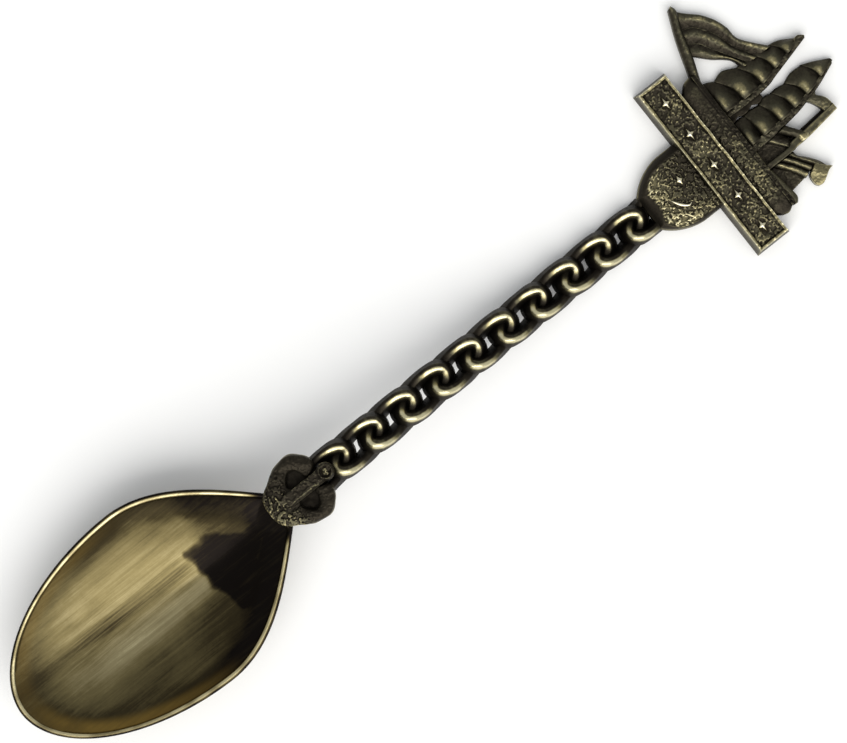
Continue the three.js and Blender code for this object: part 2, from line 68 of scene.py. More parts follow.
def noise(x, y, pitch, seed):
    """Smooth noise in -1..1 whose lumps are about pitch wide."""
    u, v = x / pitch, y / pitch
    i, j = np.floor(u), np.floor(v)
    f, g = u - i, v - j
    f, g = f * f * (3 - 2 * f), g * g * (3 - 2 * g)
    low = chance(i, j, seed) * (1 - f) + chance(i + 1, j, seed) * f
    high = chance(i, j + 1, seed) * (1 - f) + chance(i + 1, j + 1, seed) * f
    return 2 * (low * (1 - g) + high * g) - 1


def stipple(x, y, pitch, seed):
    """Irregular punched grain: 0 in the pits, 1 on the worm-like lands between them."""
    coarse = noise(x, y, pitch, seed)
    fine = noise(x + 0.7 * y, y - 0.6 * x, pitch * 0.6, seed + 3)
    return ease(-0.32, 0.42, 0.62 * coarse + 0.38 * fine)


def ease(low, high, value):
    """0 at low and 1 at high, with a soft rise between them. low may be the larger one."""
    f = np.clip((value - low) / (high - low), 0, 1)
    return f * f * (3 - 2 * f)


def side(*points):
    """A smooth curve through the points, as a function of 0..1."""
    p = np.array(points, float)
    steps = np.hypot(*np.diff(p, axis=0).T)
    knots = np.concatenate([[0], np.cumsum(steps)]) / steps.sum()
    ghosts = np.vstack([2 * p[0] - p[1], p, 2 * p[-1] - p[-2]])

    def at(t):
        t = np.asarray(t, float)
        i = np.clip(np.searchsorted(knots, t, side="right") - 1, 0, len(p) - 2)
        f = ((t - knots[i]) / (knots[i + 1] - knots[i]))[:, None]
        a, b, c, d = (ghosts[i + k] for k in range(4))
        return 0.5 * (2 * b + (c - a) * f + (2 * a - 5 * b + 4 * c - d) * f**2
                      + (3 * b - a - 3 * c + d) * f**3)
    return at


def full_turn(count):
    """Angles all the way round, in equal steps."""
    return np.linspace(0, 2 * pi, count + 1)[:-1]


def stations(length, cell, edge):
    """Shares 0..1 of a length, one per cell and crowded into the rounded edge at both ends."""
    edge = min(edge, length * 0.3)
    corner = edge * (1 - np.cos(np.linspace(0, pi / 2, CORNER_STEPS + 1)[:-1]))
    count = max(3, int(round((length - 2 * edge) / cell)))
    inner = np.linspace(edge, length - edge, count)
    return np.concatenate([corner, inner, (length - corner)[::-1]]) / length


# ---------------- meshes

def worn(mesh, steps, scale, lift=0.0):
    """Wear of each vertex, 0 in hollows to 1 on edges and tops, from how far it stands proud."""
    def read(rows, key, width, kind=float):
        values = np.empty(len(rows) * width, dtype=kind)
        rows.foreach_get(key, values)
        return values.reshape(-1, width)

    place = read(mesh.vertices, "co", 3) / MM
    normal = read(mesh.vertex_normals, "vector", 3)
    ends = read(mesh.edges, "vertices", 2, np.int64)
    start, finish = np.concatenate([ends, ends[:, ::-1]]).T
    count = len(place)
    degree = np.bincount(start, minlength=count)
    smooth = place.copy()
    for _ in range(steps):
        for axis in range(3):
            total = np.bincount(start, weights=smooth[finish, axis], minlength=count)
            smooth[:, axis] = 0.4 * smooth[:, axis] + 0.6 * total / degree
    proud = ((place - smooth) * normal).sum(1)
    return np.clip(0.5 + proud / scale + lift, 0, 1)


def put(name, data):
    """A new object in the scene."""
    thing = bpy.data.objects.new(name, data)
    bpy.context.scene.collection.objects.link(thing)
    return thing


def add_piece(name, points, faces, look, node, steps=6, scale=0.12, lift=0.0, tone=None):
    """Makes a closed mesh into a piece of the spoon that stands for the given CAD node. steps,
    scale and lift say how its wear is found, and tone corrects the wear of its first vertices;
    in some pieces that correction paints light or shade into it."""
    points = np.asarray(points, float)
    a, b, c = (points[[f[k] for f in faces]] for k in range(3))
    if np.einsum("ij,ij->i", a, np.cross(b, c)).sum() < 0:
        faces = [f[::-1] for f in faces]
    mesh = bpy.data.meshes.new(name)
    mesh.from_pydata((points * MM).tolist(), [], faces)
    mesh.polygons.foreach_set("use_smooth", [True] * len(mesh.polygons))
    mesh.set_sharp_from_angle(angle=SHARP_EDGE)
    mesh.update()
    values = worn(mesh, steps, scale, lift)
    if tone is not None:
        tone = np.ravel(tone)
        values[:tone.size] += tone
    wear_and_light = mesh.attributes.new("wear_and_light", "FLOAT", "POINT")
    wear_and_light.data.foreach_set("value", np.clip(values, 0, 1).astype(np.float32))
    mesh.materials.append(MATERIALS[look])
    piece = put(name, mesh)
    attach(piece, "root")
    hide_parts(node)
    return piece


def join(*parts):
    """Arrays or numbers side by side along a new last axis."""
    return np.stack(np.broadcast_arrays(*parts), axis=-1)


def quads(index):
    """Faces between the neighbouring rows and columns of a grid of vertex numbers."""
    corners = index[:-1, :-1], index[1:, :-1], index[1:, 1:], index[:-1, 1:]
    return [tuple(q) for q in join(*corners).reshape(-1, 4).tolist()]


def closed_grid(top, back):
    """Points and faces of a solid with the given top grid and back grid, walled all round."""
    index = np.arange(top[..., 0].size).reshape(top.shape[:2])
    faces = quads(index) + [f[::-1] for f in quads(index + index.size)]
    loop = np.concatenate([index[:, 0], index[-1, 1:], index[-2::-1, -1], index[0, -2::-1]])
    walls = quads(np.stack([loop, loop + index.size]))
    faces += [(b, a, d, c) for a, d, c, b in walls]
    return np.vstack([top.reshape(-1, 3), back.reshape(-1, 3)]), faces


def relief(name, node, left, right, height, look, foot=None, head=None, cell=0.1, edge=0.18,
           rounded=(1, 1, 1, 1), back=0.0, tone=None, **finish):
    """A four-sided raised area. left and right run from foot to head, foot and head from left
    to right (straight unless given). height(x, y, s, t) is its surface, with s from left to
    right and t from foot to head. The border is rounded off; rounded scales the radius of the
    left, right, foot and head border."""
    probe = np.linspace(0, 1, 15)
    width = np.hypot(*(right(probe) - left(probe)).T).max()
    reach = max(np.hypot(*np.diff(c(probe), axis=0).T).sum() for c in (left, right))
    s = stations(width, cell, edge)
    t = stations(reach, cell, edge)
    l, r = left(t), right(t)
    f = foot(s) if foot else l[0] + s[:, None] * (r[0] - l[0])
    h = head(s) if head else l[-1] + s[:, None] * (r[-1] - l[-1])
    S, T = s[:, None, None], t[None, :, None]
    plan = ((1 - T) * f[:, None] + T * h[:, None] + (1 - S) * l[None] + S * r[None]
            - (1 - S) * (1 - T) * f[0] - S * (1 - T) * f[-1] - (1 - S) * T * h[0] - S * T * h[-1])
    x, y = plan[..., 0], plan[..., 1]
    S, T = np.broadcast_to(S[..., 0], x.shape), np.broadcast_to(T[..., 0], x.shape)
    across = np.hypot(*(r - l).T)[None, :]
    along = np.hypot(*(h - f).T)[:, None]
    rounding = np.zeros(x.shape)
    for depth, share in zip((S * across, (1 - S) * across, T * along, (1 - T) * along), rounded):
        radius = edge * share
        short = np.clip(radius - depth, 0, radius)
        rounding = np.maximum(rounding, radius - np.sqrt(np.maximum(radius**2 - short**2, 0)))
    z = height(x, y, S, T) - rounding
    points, faces = closed_grid(join(x, y, z), join(x, y, back))
    if tone is not None:
        tone = tone(x, y, S, T)
    add_piece(name, points, faces, look, node, tone=tone, **finish)


def rings(name, node, grid, look, closed_ring=False, **finish):
    """A lofted solid: grid holds one closed section per row. Each end is capped with a fan, or
    with closed_ring the rows join up into a ring."""
    points = grid.reshape(-1, 3)
    index = np.arange(len(points)).reshape(grid.shape[:2])
    index = np.column_stack([index, index[:, 0]])
    if closed_ring:
        index = np.vstack([index, index[:1]])
    faces = quads(index)
    if not closed_ring:
        for i, turn in ((0, 1), (-1, -1)):
            row = index[i].tolist()
            faces += [(a, b, len(points))[::turn] for a, b in zip(row, row[1:])]
            points = np.vstack([points, grid[i].mean(0)])
    return add_piece(name, points, faces, look, node, **finish)


# ---------------- materials

class Nodes:
    """Short calls for building one material's node tree."""

    def __init__(self, name):
        self.material = bpy.data.materials.new(name)
        self.material.use_nodes = True
        self.tree = self.material.node_tree
        self.tree.nodes.clear()
        self.place = self.new("ShaderNodeTexCoord", {}).outputs["Object"]

    def new(self, kind, inputs, **settings):
        """A node with the given settings; each of its inputs is a value or another's output."""
        node = self.tree.nodes.new(kind)
        for key, value in settings.items():
            setattr(node, key, value)
        for key, value in inputs.items():
            if isinstance(value, bpy.types.NodeSocket):
                self.tree.links.new(value, node.inputs[key])
            else:
                node.inputs[key].default_value = value
        return node

    def noise(self, *stretch, **settings):
        """Noise in object space; stretch is the number of lumps per millimetre along X, Y, Z."""
        scale = [n / MM for n in stretch]
        mapping = self.new("ShaderNodeMapping", {"Vector": self.place, "Scale": scale})
        inputs = {"Vector": mapping.outputs["Vector"], "Scale": 1.0, "Detail": 3.0,
                  "Roughness": 0.55, **settings}
        return self.new("ShaderNodeTexNoise", inputs).outputs["Fac"]

    def attribute(self, name):
        return self.new("ShaderNodeAttribute", {}, attribute_name=name).outputs["Fac"]

    def math(self, operation, a, b, clamp=False):
        inputs = {0: a, 1: b}
        return self.new("ShaderNodeMath", inputs, operation=operation, use_clamp=clamp).outputs[0]

    def blend(self, base, *parts):
        """base plus each (noise, strength), the noises centred on zero, kept in 0..1."""
        total = base
        for source, strength in parts:
            centred = self.math("SUBTRACT", source, 0.5)
            total = self.math("ADD", total, self.math("MULTIPLY", centred, strength))
        return self.math("ADD", total, 0.0, clamp=True)

    def ramp(self, factor, stops):
        """A colour ramp through (position, colour or grey value)."""
        node = self.new("ShaderNodeValToRGB", {"Fac": factor})
        stops = list(stops)
        elements = node.color_ramp.elements
        while len(elements) < len(stops):
            elements.new(0.5)
        for element, (position, value) in zip(elements, stops):
            element.position = position
            grey = isinstance(value, (int, float))
            element.color = (value,) * 3 + (1,) if grey else (*value, 1)
        return node.outputs["Color"]

    def bump(self, height, distance, strength, **below):
        inputs = {"Strength": strength, "Distance": distance * MM, "Height": height, **below}
        return self.new("ShaderNodeBump", inputs).outputs["Normal"]

    def finish(self, colour, roughness, normal):
        """The material, made of bare metal."""
        shader = self.new("ShaderNodeBsdfPrincipled", {
            "Metallic": 1.0, "Base Color": colour, "Roughness": roughness, "Normal": normal})
        self.new("ShaderNodeOutputMaterial", {"Surface": shader.outputs[0]})
        return self.material


NEAR_BLACK = (0.013, 0.011, 0.009)
DARK_BROWN = (0.042, 0.036, 0.026)
OLIVE = (0.115, 0.105, 0.064)
OLD_GOLD = (0.34, 0.295, 0.155)
PALE_GOLD = (0.72, 0.66, 0.42)
GREY_OLIVE = (0.092, 0.085, 0.055)
POLISH_AND_HIGHLIGHT = (0.86, 0.80, 0.60)
AMBER = (0.235, 0.152, 0.038)
PATINA = (NEAR_BLACK, DARK_BROWN, OLIVE, OLD_GOLD, PALE_GOLD)
CREVICE_REACH = 1.3             # how far the painted crevice shade reaches
GRAIN_HEIGHT = 0.02
BLOTCH_PITCH = 0.35             # blotches per millimetre


def aged_brass(name, wear_and_light_stops, rough, fine, blotch, grain=0.3, crevice=1.0, colours=PATINA):
    """Patinated brass: colours run from the hollows to the worn tops, each reached at its share
    of wear and painted light, broken up by fine grain and wider blotches. rough is the roughness
    of hollows, flanks and tops. Painted shade, which also stands for patina gathered there,
    darkens the crevices between pieces, the more the larger crevice is."""
    n = Nodes(name)
    grain_noise = n.noise(fine, fine, fine, Detail=4)
    blotch_noise = n.noise(BLOTCH_PITCH, BLOTCH_PITCH, BLOTCH_PITCH)
    wear_and_light = n.blend(n.attribute("wear_and_light"), (grain_noise, grain), (blotch_noise, blotch))
    crevice_shade_and_patina = n.new("ShaderNodeAmbientOcclusion", {"Distance": CREVICE_REACH * MM}, samples=6,
                 only_local=False)
    open_sky = n.math("POWER", crevice_shade_and_patina.outputs["AO"], crevice)
    wear_and_light = n.math("MULTIPLY", wear_and_light, open_sky, clamp=True)
    colour = n.ramp(wear_and_light, zip(wear_and_light_stops, colours))
    roughness = n.ramp(wear_and_light, zip((0, 0.5, 1), rough))
    return n.finish(colour, roughness, n.bump(grain_noise, GRAIN_HEIGHT, 0.6))


def bowl_brass():
    """Brushed bowl: lengthwise streaks, a tarnished darkening that also holds painted shade and a
    painted dark reflection creeping from the neck, a rim worn bright and an amber tinge under it."""
    n = Nodes("bowl_brass")
    streaks = n.noise(0.05, 2.6, 0.6, Detail=6, Roughness=0.65)
    bands = n.noise(0.03, 0.9, 0.3, Detail=4, Roughness=0.7)
    hairlines = n.noise(0.12, 10.0, 2.0, Detail=5, Roughness=0.7)
    clouds = n.noise(0.10, 0.14, 0.14, Distortion=0.4)
    specks = n.noise(2.6, 2.6, 2.6)
    streaked = n.math("MULTIPLY", n.blend(n.attribute("streaked"), (clouds, 0.3)), 0.75)
    strokes = n.math("MULTIPLY", n.math("SUBTRACT", bands, 0.5), streaked)
    scratches = n.math("SUBTRACT", n.noise(0.04, 4.2, 0.3), 0.5)
    faint = n.math("MULTIPLY", streaked, 0.7)
    strokes = n.math("ADD", strokes, n.math("MULTIPLY", scratches, faint))
    tarnish_and_shade = n.blend(n.attribute("tarnish_and_shade"), (clouds, 0.30), (streaks, 0.22), (hairlines, 0.18),
                      (specks, 0.08))
    tarnish_and_shade = n.math("ADD", tarnish_and_shade, strokes, clamp=True)
    metal = n.ramp(tarnish_and_shade, [
        (0.0, (0.66, 0.58, 0.34)),
        (0.18, (0.36, 0.305, 0.165)),
        (0.45, (0.185, 0.150, 0.068)),
        (0.72, (0.055, 0.043, 0.021)),
        (1.0, (0.010, 0.008, 0.007)),
    ])
    amber = n.math("MULTIPLY", n.attribute("amber"), n.blend(clouds, (streaks, 0.5)), clamp=True)
    tinge = n.new("ShaderNodeMix", {"Factor": amber, "A": metal, "B": (*AMBER, 1)},
                  data_type="RGBA")
    rough_mix = n.blend(n.attribute("tarnish_and_shade"), (hairlines, 0.4), (clouds, 0.3))
    roughness = n.ramp(rough_mix, [(0.0, 0.30), (0.4, 0.44), (1.0, 0.38)])
    brushed = n.bump(hairlines, 0.012, 0.5)
    normal = n.bump(streaks, 0.04, 0.4, Normal=brushed)
    return n.finish(tinge.outputs["Result"], roughness, normal)


MATERIALS = {"bowl_brass": bowl_brass()}
for brass, *settings, more in (
    ("anchor_brass", (0, 0.4, 0.62, 0.82, 1), (0.6, 0.5, 0.3), 4.0, 0.25, {}),
    ("chain_brass", (0, 0.3, 0.5, 0.72, 1), (0.55, 0.45, 0.3), 5.0, 0.2,
     {"grain": 0.2, "crevice": 1.3}),
    ("stippled_brass", (0, 0.38, 0.62, 0.82, 1), (0.6, 0.5, 0.32), 4.5, 0.25, {}),
    ("rigging_brass", (0, 0.3, 0.6, 0.85, 1), (0.6, 0.46, 0.32), 4.0, 0.2,
     {"grain": 0.22, "crevice": 1.3,
      "colours": (NEAR_BLACK, DARK_BROWN, GREY_OLIVE, OLD_GOLD, PALE_GOLD)}),
    # bright_brass, for the stars and crescent: pale partly as polish and partly as a painted
    # highlight
    ("bright_brass", (0, 0.35, 0.65, 1), (0.4, 0.3, 0.22), 6.0, 0.1,
     {"grain": 0.15, "crevice": 0.3, "colours": (OLIVE, OLD_GOLD, PALE_GOLD, POLISH_AND_HIGHLIGHT)}),
):
    MATERIALS[brass] = aged_brass(brass, *settings, **more)


# ---------------- bowl

WIDEST_SHARE = 0.583            # of the bowl's length, from the tip
TIP_POWER = 1.94                # a little more pointed than an ellipse, which has 2
NECK_POWER = 1.5                # of the hollow's end before the neck, nearly a pointed arch
NECK_HALF_WIDTH = 2.6
NECK_REACH = 0.9                # on under the anchor's crown
NECK_END_ANGLE = 0.14           # turn at which the neck's square end begins
BELLY_PULL = 7.2                # how far the outline runs on straight from its widest place
NECK_PULL = (4.5, 4.25)         # and from the neck's corner, along and across
RIM_TIP_Z = 7.0
RIM_WIDTH = 0.75
RIM_ROUND = 0.28
BOWL_WALL = 1.0
BOWL_FLAT = 0.1                 # radius of the flat underneath, as a share of the outline
BOWL_STEPS = 360                # points round the outline
OUTSIDE_ROWS, RIM_ROWS, INSIDE_ROWS = 46, 13, 72


def bowl_measures():
    """X of the bowl's tip, widest place and neck, and half its width."""
    low, high = box("bowl")
    tip, neck = low[0], high[0]
    return tip, tip + WIDEST_SHARE * (neck - tip), neck, (high[1] - low[1]) / 2


def bowl_outline(turn):
    """Half outline for turn 0 (neck) to pi (tip): X and the distance from the centre line."""
    tip, widest, neck, half = bowl_measures()
    neck = neck + NECK_REACH
    t = np.clip((pi / 2 - turn) / (pi / 2 - NECK_END_ANGLE), 0, 1)
    control_x = (widest, widest + BELLY_PULL, neck - NECK_PULL[0], neck)
    control_y = (half, half, NECK_HALF_WIDTH + NECK_PULL[1], NECK_HALF_WIDTH)
    shares = ((1 - t) ** 3, 3 * t * (1 - t) ** 2, 3 * t * t * (1 - t), t**3)
    neck_x = sum(w * c for w, c in zip(shares, control_x))
    neck_y = sum(w * c for w, c in zip(shares, control_y))
    along = np.abs(np.cos(turn)) ** (2 / TIP_POWER)
    across = np.abs(np.sin(turn)) ** (2 / TIP_POWER)
    x = np.where(turn < pi / 2, neck_x, widest + (tip - widest) * along)
    y = np.where(turn < pi / 2, neck_y, half * across)
    y = np.where(turn < NECK_END_ANGLE, NECK_HALF_WIDTH * turn / NECK_END_ANGLE, y)
    return x, y


def bowl_plan(turn):
    """The bowl without its neck corners, which its hollow follows away from the rim."""
    tip, widest, neck, half = bowl_measures()
    power = np.where(turn < pi / 2, NECK_POWER, TIP_POWER)
    end = np.where(turn < pi / 2, neck + 0.6, tip)
    x = widest + (end - widest) * np.abs(np.cos(turn)) ** (2 / power)
    return x, half * np.abs(np.sin(turn)) ** (2 / power)


def inside_tarnish_and_shade(x, y, depth):
    """How dark the inside of the bowl is made, from tarnished brass and painted shade: lighter
    along a band in the middle; black before the neck, a painted dark reflection mixed with
    tarnished brass; dark as painted shade on the steep wall under the rim and on the -Y half,
    whose wall faces away from the lamp. depth is 0 in the middle and 1 at the rim."""
    drift = 0.7 * noise(x, y, 3.2, 8) + 0.4 * noise(x, y, 1.3, 9) + 0.2 * noise(x, y, 0.6, 13)
    # the black patch, a painted dark reflection mixed with tarnished brass, ends on three sides:
    # toward the tip, toward +Y and toward -Y
    stain_and_reflection = ease(-0.9, 0.8, x - 5.3 - 0.5 * np.maximum(0, -3 - y) + drift)
    stain_and_reflection = stain_and_reflection * ease(-1.2, 0.8, 2.9 - 0.4 * np.maximum(0, x - 9) - y + 0.6 * drift)
    stain_and_reflection = stain_and_reflection * ease(-3.0, 0.8, y + 7.6 - 0.8 * (x - 7.3) + drift)
    # the darkening toward the neck is also a painted dark reflection mixed with tarnished brass
    neck = ease(6.8, 11.0, x + 0.8 * drift) * (1 - 0.22 * ease(0.5, 3.0, y))
    tip = ease(-14.0, -20.5, x + 0.5 * drift)
    # painted shade: the steep wall under the rim and the -Y half, whose wall faces away from the
    # lamp
    wall = ease(0.74, 0.92, depth + 0.03 * drift) * (0.1 + 0.2 * ease(-12.0, 0.0, x))
    shaded = ease(-1.5, -6.5, y + drift) * (0.18 + 0.14 * ease(-4.0, 8.0, x))
    lightened = ease(6.0, 4.6, x + 0.6 * drift) * ease(-15.0, -8.0, x)
    lightened = lightened * np.exp(-((y + 2.2 - 0.05 * x) / 1.6) ** 2)
    streak_gap = np.exp(-((y - 1.7) / 1.0) ** 2) * ease(6.0, 3.0, x)
    mottled = 0.43 + 0.33 * neck + 0.16 * tip + wall + shaded
    return np.maximum(mottled - 0.25 * lightened + 0.15 * streak_gap, 1.02 * stain_and_reflection)


def build_bowl():
    low, high = box("bowl")
    middle_y = (low[1] + high[1]) / 2
    turns = np.linspace(-pi, pi, BOWL_STEPS + 1)[:-1]
    edge_x, edge_y = bowl_outline(np.abs(turns))
    plan_x, plan_y = bowl_plan(np.abs(turns))
    edge_y, plan_y = edge_y * np.sign(turns), plan_y * np.sign(turns)
    rim_z = RIM_TIP_Z + (high[2] - RIM_TIP_Z) * ((1 + np.cos(turns)) / 2) ** 3
    lip = RIM_WIDTH / np.hypot(edge_x, edge_y)
    shell = []
    for r in np.linspace(0.02, 1, OUTSIDE_ROWS):
        climb = max(0.0, r - BOWL_FLAT) / (1 - BOWL_FLAT)
        shell.append((r, np.full(turns.shape, r), (rim_z - RIM_ROUND) * climb**2))
    rim_angles = np.linspace(0, pi, RIM_ROWS + 2)[1:-1]
    for a in rim_angles:
        shell.append((1, 1 - lip / 2 + lip / 2 * cos(a),
                      rim_z - RIM_ROUND * (1 - sin(a))))
    for r in np.linspace(1, 0.01, INSIDE_ROWS):
        climb = (rim_z - RIM_ROUND - BOWL_WALL) * r**2
        shell.append((r, (1 - lip) * r, BOWL_WALL + climb))
    rows = []
    for r, share, z in shell:
        cornered = ease(0.84, 1.0, r)
        x = share * (cornered * edge_x + (1 - cornered) * plan_x)
        y = share * (cornered * edge_y + (1 - cornered) * plan_y)
        rows.append(join(x, middle_y + y, z))
    grid = np.array(rows)
    x, y, z = np.moveaxis(grid, -1, 0)
    dent = 0.05 * noise(x, y, 4.5, 3) + 0.02 * noise(x, y, 1.7, 4)
    inside = np.arange(len(shell)) >= OUTSIDE_ROWS + RIM_ROWS
    grid[..., 2] += dent * ease(0.3, 3.0, rim_z - z) * inside[:, None]
    bowl = rings("bowl_shell", "bowl", grid, "bowl_brass", steps=4)

    depth = np.array([row[0] for row in shell])[:, None] * np.ones(x.shape)
    tarnish_and_shade = np.full(x.shape, 0.5) + 0.15 * noise(x, y, 3.0, 10)
    tarnish_and_shade[inside] = inside_tarnish_and_shade(x, y, depth)[inside]
    # The outside just under the rim and the rim's outer roll are dark as painted shade; the top of
    # the rim is left worn bright.
    tarnish_and_shade[OUTSIDE_ROWS - 4:OUTSIDE_ROWS] = 0.9
    rim = 0.95 - 0.85 * ease(radians(68), radians(92), rim_angles)
    rim = rim + 0.2 * ease(radians(150), radians(172), rim_angles)
    rim_rows = slice(OUTSIDE_ROWS, OUTSIDE_ROWS + RIM_ROWS)
    wander = 0.2 * noise(x, y, 1.6, 12)[rim_rows]
    under_anchor = ease(2.2 * NECK_END_ANGLE, 1.3 * NECK_END_ANGLE, np.abs(turns))
    tarnish_and_shade[rim_rows] = rim[:, None] + wander + 0.9 * under_anchor
    under_rim = ease(0.87, 0.96, depth) * ease(4.0, -5.0, x)
    side_share = 0.3 + 0.7 * ease(2.0, -5.0, y) * ease(-21.5, -18.0, x)
    amber = 1.5 * under_rim * side_share * inside[:, None]
    streaked = np.exp(-((y - 0.8) / 2.6) ** 2) * ease(6.5, 3.0, x) * ease(-16, -9, x)
    streaked = (0.35 + 1.1 * streaked) * inside[:, None]
    for name, values, last in (("tarnish_and_shade", tarnish_and_shade, [0.5, 0.4]), ("amber", amber, [0, 0]),
                               ("streaked", streaked, [0, 0])):
        values = np.clip(np.append(values.reshape(-1), last), 0, 2).astype(np.float32)
        bowl.data.attributes.new(name, "FLOAT", "POINT").data.foreach_set("value", values)


# ---------------- anchor

def anchor_ground(start, end, half, back, floor_z):
    """The plate that shows between the arms."""
    def plate_edge(sign):
        return side((start + 0.6, sign * 1.5), (start + 1.5, sign * 2.6),
                    (start + 2.9, sign * 4.05), (start + 4.6, sign * half),
                    (end - 1.9, sign * half), (end - 0.9, sign * 3.75), (end, sign * 2.4))

    def floor(x, y, s, t):
        return floor_z - 0.15 + 0.06 * noise(x, y, 0.6, 11)

    relief("anchor_plate", "anchor_ground", plate_edge(-1), plate_edge(1), floor, "anchor_brass",
           back=back, edge=0.3, lift=-0.35)


def anchor_arms(start, end, half, floor_z):
    """Crown and arms with their curled flukes, as one bent band."""
    crest = box("anchor_arms")[1][2]
    outer_half = [(end - 0.1, 1.3), (end + 0.05, 2.3), (end - 0.65, 3.5), (end - 2.3, half),
                  (start + 3.0, 4.0), (start + 1.5, 3.1), (start + 0.7, 2.65), (start - 0.05, 1.9),
                  (start - 0.35, 0.9)]
    inner_half = [(end - 1.9, 0.8), (end - 1.95, 1.4), (end - 2.4, 2.3), (end - 3.2, 2.6),
                  (start + 3.7, 1.95), (start + 3.4, 1.3), (start + 3.7, 0.85), (start + 4.1, 0.5)]

    def mirrored(points, middle, stretch):
        return side(*points, middle, *[(x, -y * stretch) for x, y in points[::-1]])

    outer = mirrored(outer_half, (start - 0.4, 0.0), 1.0)
    inner = mirrored(inner_half, (start + 4.3, 0.0), 1.1)

    def hammered(x, y, s, t):
        swell = np.sin(pi * np.clip(0.06 + 0.94 * s, 0.02, 0.98)) ** 0.7
        toward_crown = ease(start + 4.2, start + 2.2, x)
        bumps = stipple(x, y, 0.40, 21) * (0.08 + 0.20 * toward_crown)
        return crest - 0.75 + 0.5 * swell + 0.10 * noise(x, y, 1.0, 22) + bumps

    # A painted highlight on the crown's -Y side, toward the lamp; the rest a little darker.
    def lightened(x, y, s, t):
        return -0.2 + 0.24 * ease(start + 4.0, start + 1.5, x) * ease(3.5, -2.5, y)

    relief("anchor_crown_and_flukes", "anchor_arms", outer, inner, hammered, "anchor_brass",
           back=floor_z - 1.3, cell=0.085, edge=0.3, scale=0.22, tone=lightened)


def anchor_shank(start, floor_z):
    """Shank that widens into the round eye."""
    shank_low, shank_high = box("anchor_shank")
    root, eye_end = start + 0.2, shank_high[0]
    top = shank_high[2]
    radius = (shank_high[1] - shank_low[1]) / 2
    eye_x = eye_end - radius

    def shank_edge(sign, y):
        round_eye = [(eye_x - radius * cos(a), sign * radius * sin(a))
                     for a in np.radians(range(55, 180, 13))]
        return side((root, y), (start + 5.2, y), (eye_x - 1.25, y), *round_eye)

    def shank_surface(x, y, s, t):
        from_eye = np.hypot(x - eye_x, y)
        in_eye = ease(1.2, 0.9, from_eye)
        ring = np.exp(-((from_eye - 0.82) / 0.16) ** 2)
        bevel = np.clip((s - 0.06) / 0.16, 0, 1)
        sunk = 0.9 * ease(start + 3.0, start + 0.4, x)
        beam = top - 0.85 + 0.30 * bevel + 0.14 * stipple(x, y, 0.42, 23) - sunk
        eye = top - 0.55 + 0.2 * ring + 0.14 * stipple(x, y, 0.3, 24)
        return beam * (1 - in_eye) + eye * in_eye

    # A painted highlight along the bevel at the shank's -Y edge, which faces the lamp; the rest a
    # little darker.
    def shank_highlight(x, y, s, t):
        bevel = 0.3 * np.exp(-((s - 0.2) / 0.11) ** 2) * (0.6 + 0.5 * noise(x, y, 0.4, 26))
        return bevel * ease(0.15, 0.3, t) * ease(0.72, 0.6, t) - 0.2

    relief("anchor_shank_and_eye", "anchor_shank", shank_edge(-1, -0.95), shank_edge(1, 0.8),
           shank_surface, "anchor_brass", back=floor_z - 0.3, cell=0.075, edge=0.16,
           rounded=(1, 1, 0.2, 0.5), scale=0.2, tone=shank_highlight)


def anchor_pin():
    """Domed head of the pin in the eye."""
    pin_low, pin_high = box("anchor_pin")
    centre = (pin_low + pin_high) / 2
    radius = (pin_high[0] - pin_low[0]) / 2
    around = full_turn(40)
    levels = [(radius * sin(a), pin_high[2] - 0.45 * (1 - cos(a)))
              for a in np.linspace(0.02, pi / 2, 12)]
    levels.append((radius, pin_low[2] - 0.6))
    grid = []
    for r, z in levels:
        x, y = centre[0] + r * np.cos(around), centre[1] + r * np.sin(around)
        grid.append(join(x, y, z + 0.24 * stipple(x, y, 0.3, 25) - 0.85))
    rings("anchor_pin_head", "anchor_pin", np.array(grid), "anchor_brass", steps=3, scale=0.1,
          lift=0.4)


def build_anchor():
    low, high = box("anchor_ground")
    start, end, half, floor_z = low[0], high[0], high[1], high[2]
    anchor_ground(start, end, half, low[2], floor_z)
    anchor_arms(start, end, half, floor_z)
    anchor_shank(start, floor_z)
    anchor_pin()


# ---------------- chain handle

LINK_COUNT = 11
LINK_STEPS = 120                # sections round a link
OVER_POINTS, UNDER_POINTS = 25, 11     # of a section, over its flanks and under them
CREST_HALF_LENGTH = 3.5
CREST_HALF_WIDTH = 1.9
CREST_LEAN = 1.2                # how far the link's sides are shifted along the handle
LINK_TWIST = 0.72               # rise and fall of the wire round the link
FLANK_OUT_SIDE = 0.78           # crest to the foot of the outer flank, at the link's sides
FLANK_OUT_END = 1.45            # and at its ends
FLANK_IN = 1.22                 # crest to the foot of the inner flank
CREST_RISE = 0.85               # crest above the middle of the wire
CREST_RADIUS = 0.85             # of the round top of the wire
CREST_SHOULDER = 0.42           # from the crest to where the steep flanks begin
BELLY_DROP = 0.5                # depth of the round underside
LINK_SHIFT = -0.3               # of the crests from the middles of the CAD links
TABLE_CLEARANCE = 0.02          # the chain stays this far above the table


def link_centres():
    """Centre and slope of each link, from the boxes of the whole links between the cut ends."""
    middles = [sum(box(f"chain_link_{i:02d}")) / 2 for i in range(2, LINK_COUNT)]
    pitch = (middles[-1] - middles[0]) / (len(middles) - 1)
    first = middles[0] * 2 - middles[1]
    last = middles[-1] * 2 - middles[-2]
    first[0], last[0] = middles[0][0] - pitch[0], middles[-1][0] + pitch[0]
    centres = np.array([first, *middles, last])
    slopes = np.gradient(centres[:, 2], centres[:, 0])
    return centres, slopes


def crest_line(a):
    """The crest of a link, an oval that leans over to one side."""
    x = CREST_HALF_LENGTH * np.cos(a) + CREST_LEAN * np.sin(a)
    return x, CREST_HALF_WIDTH * np.sin(a)


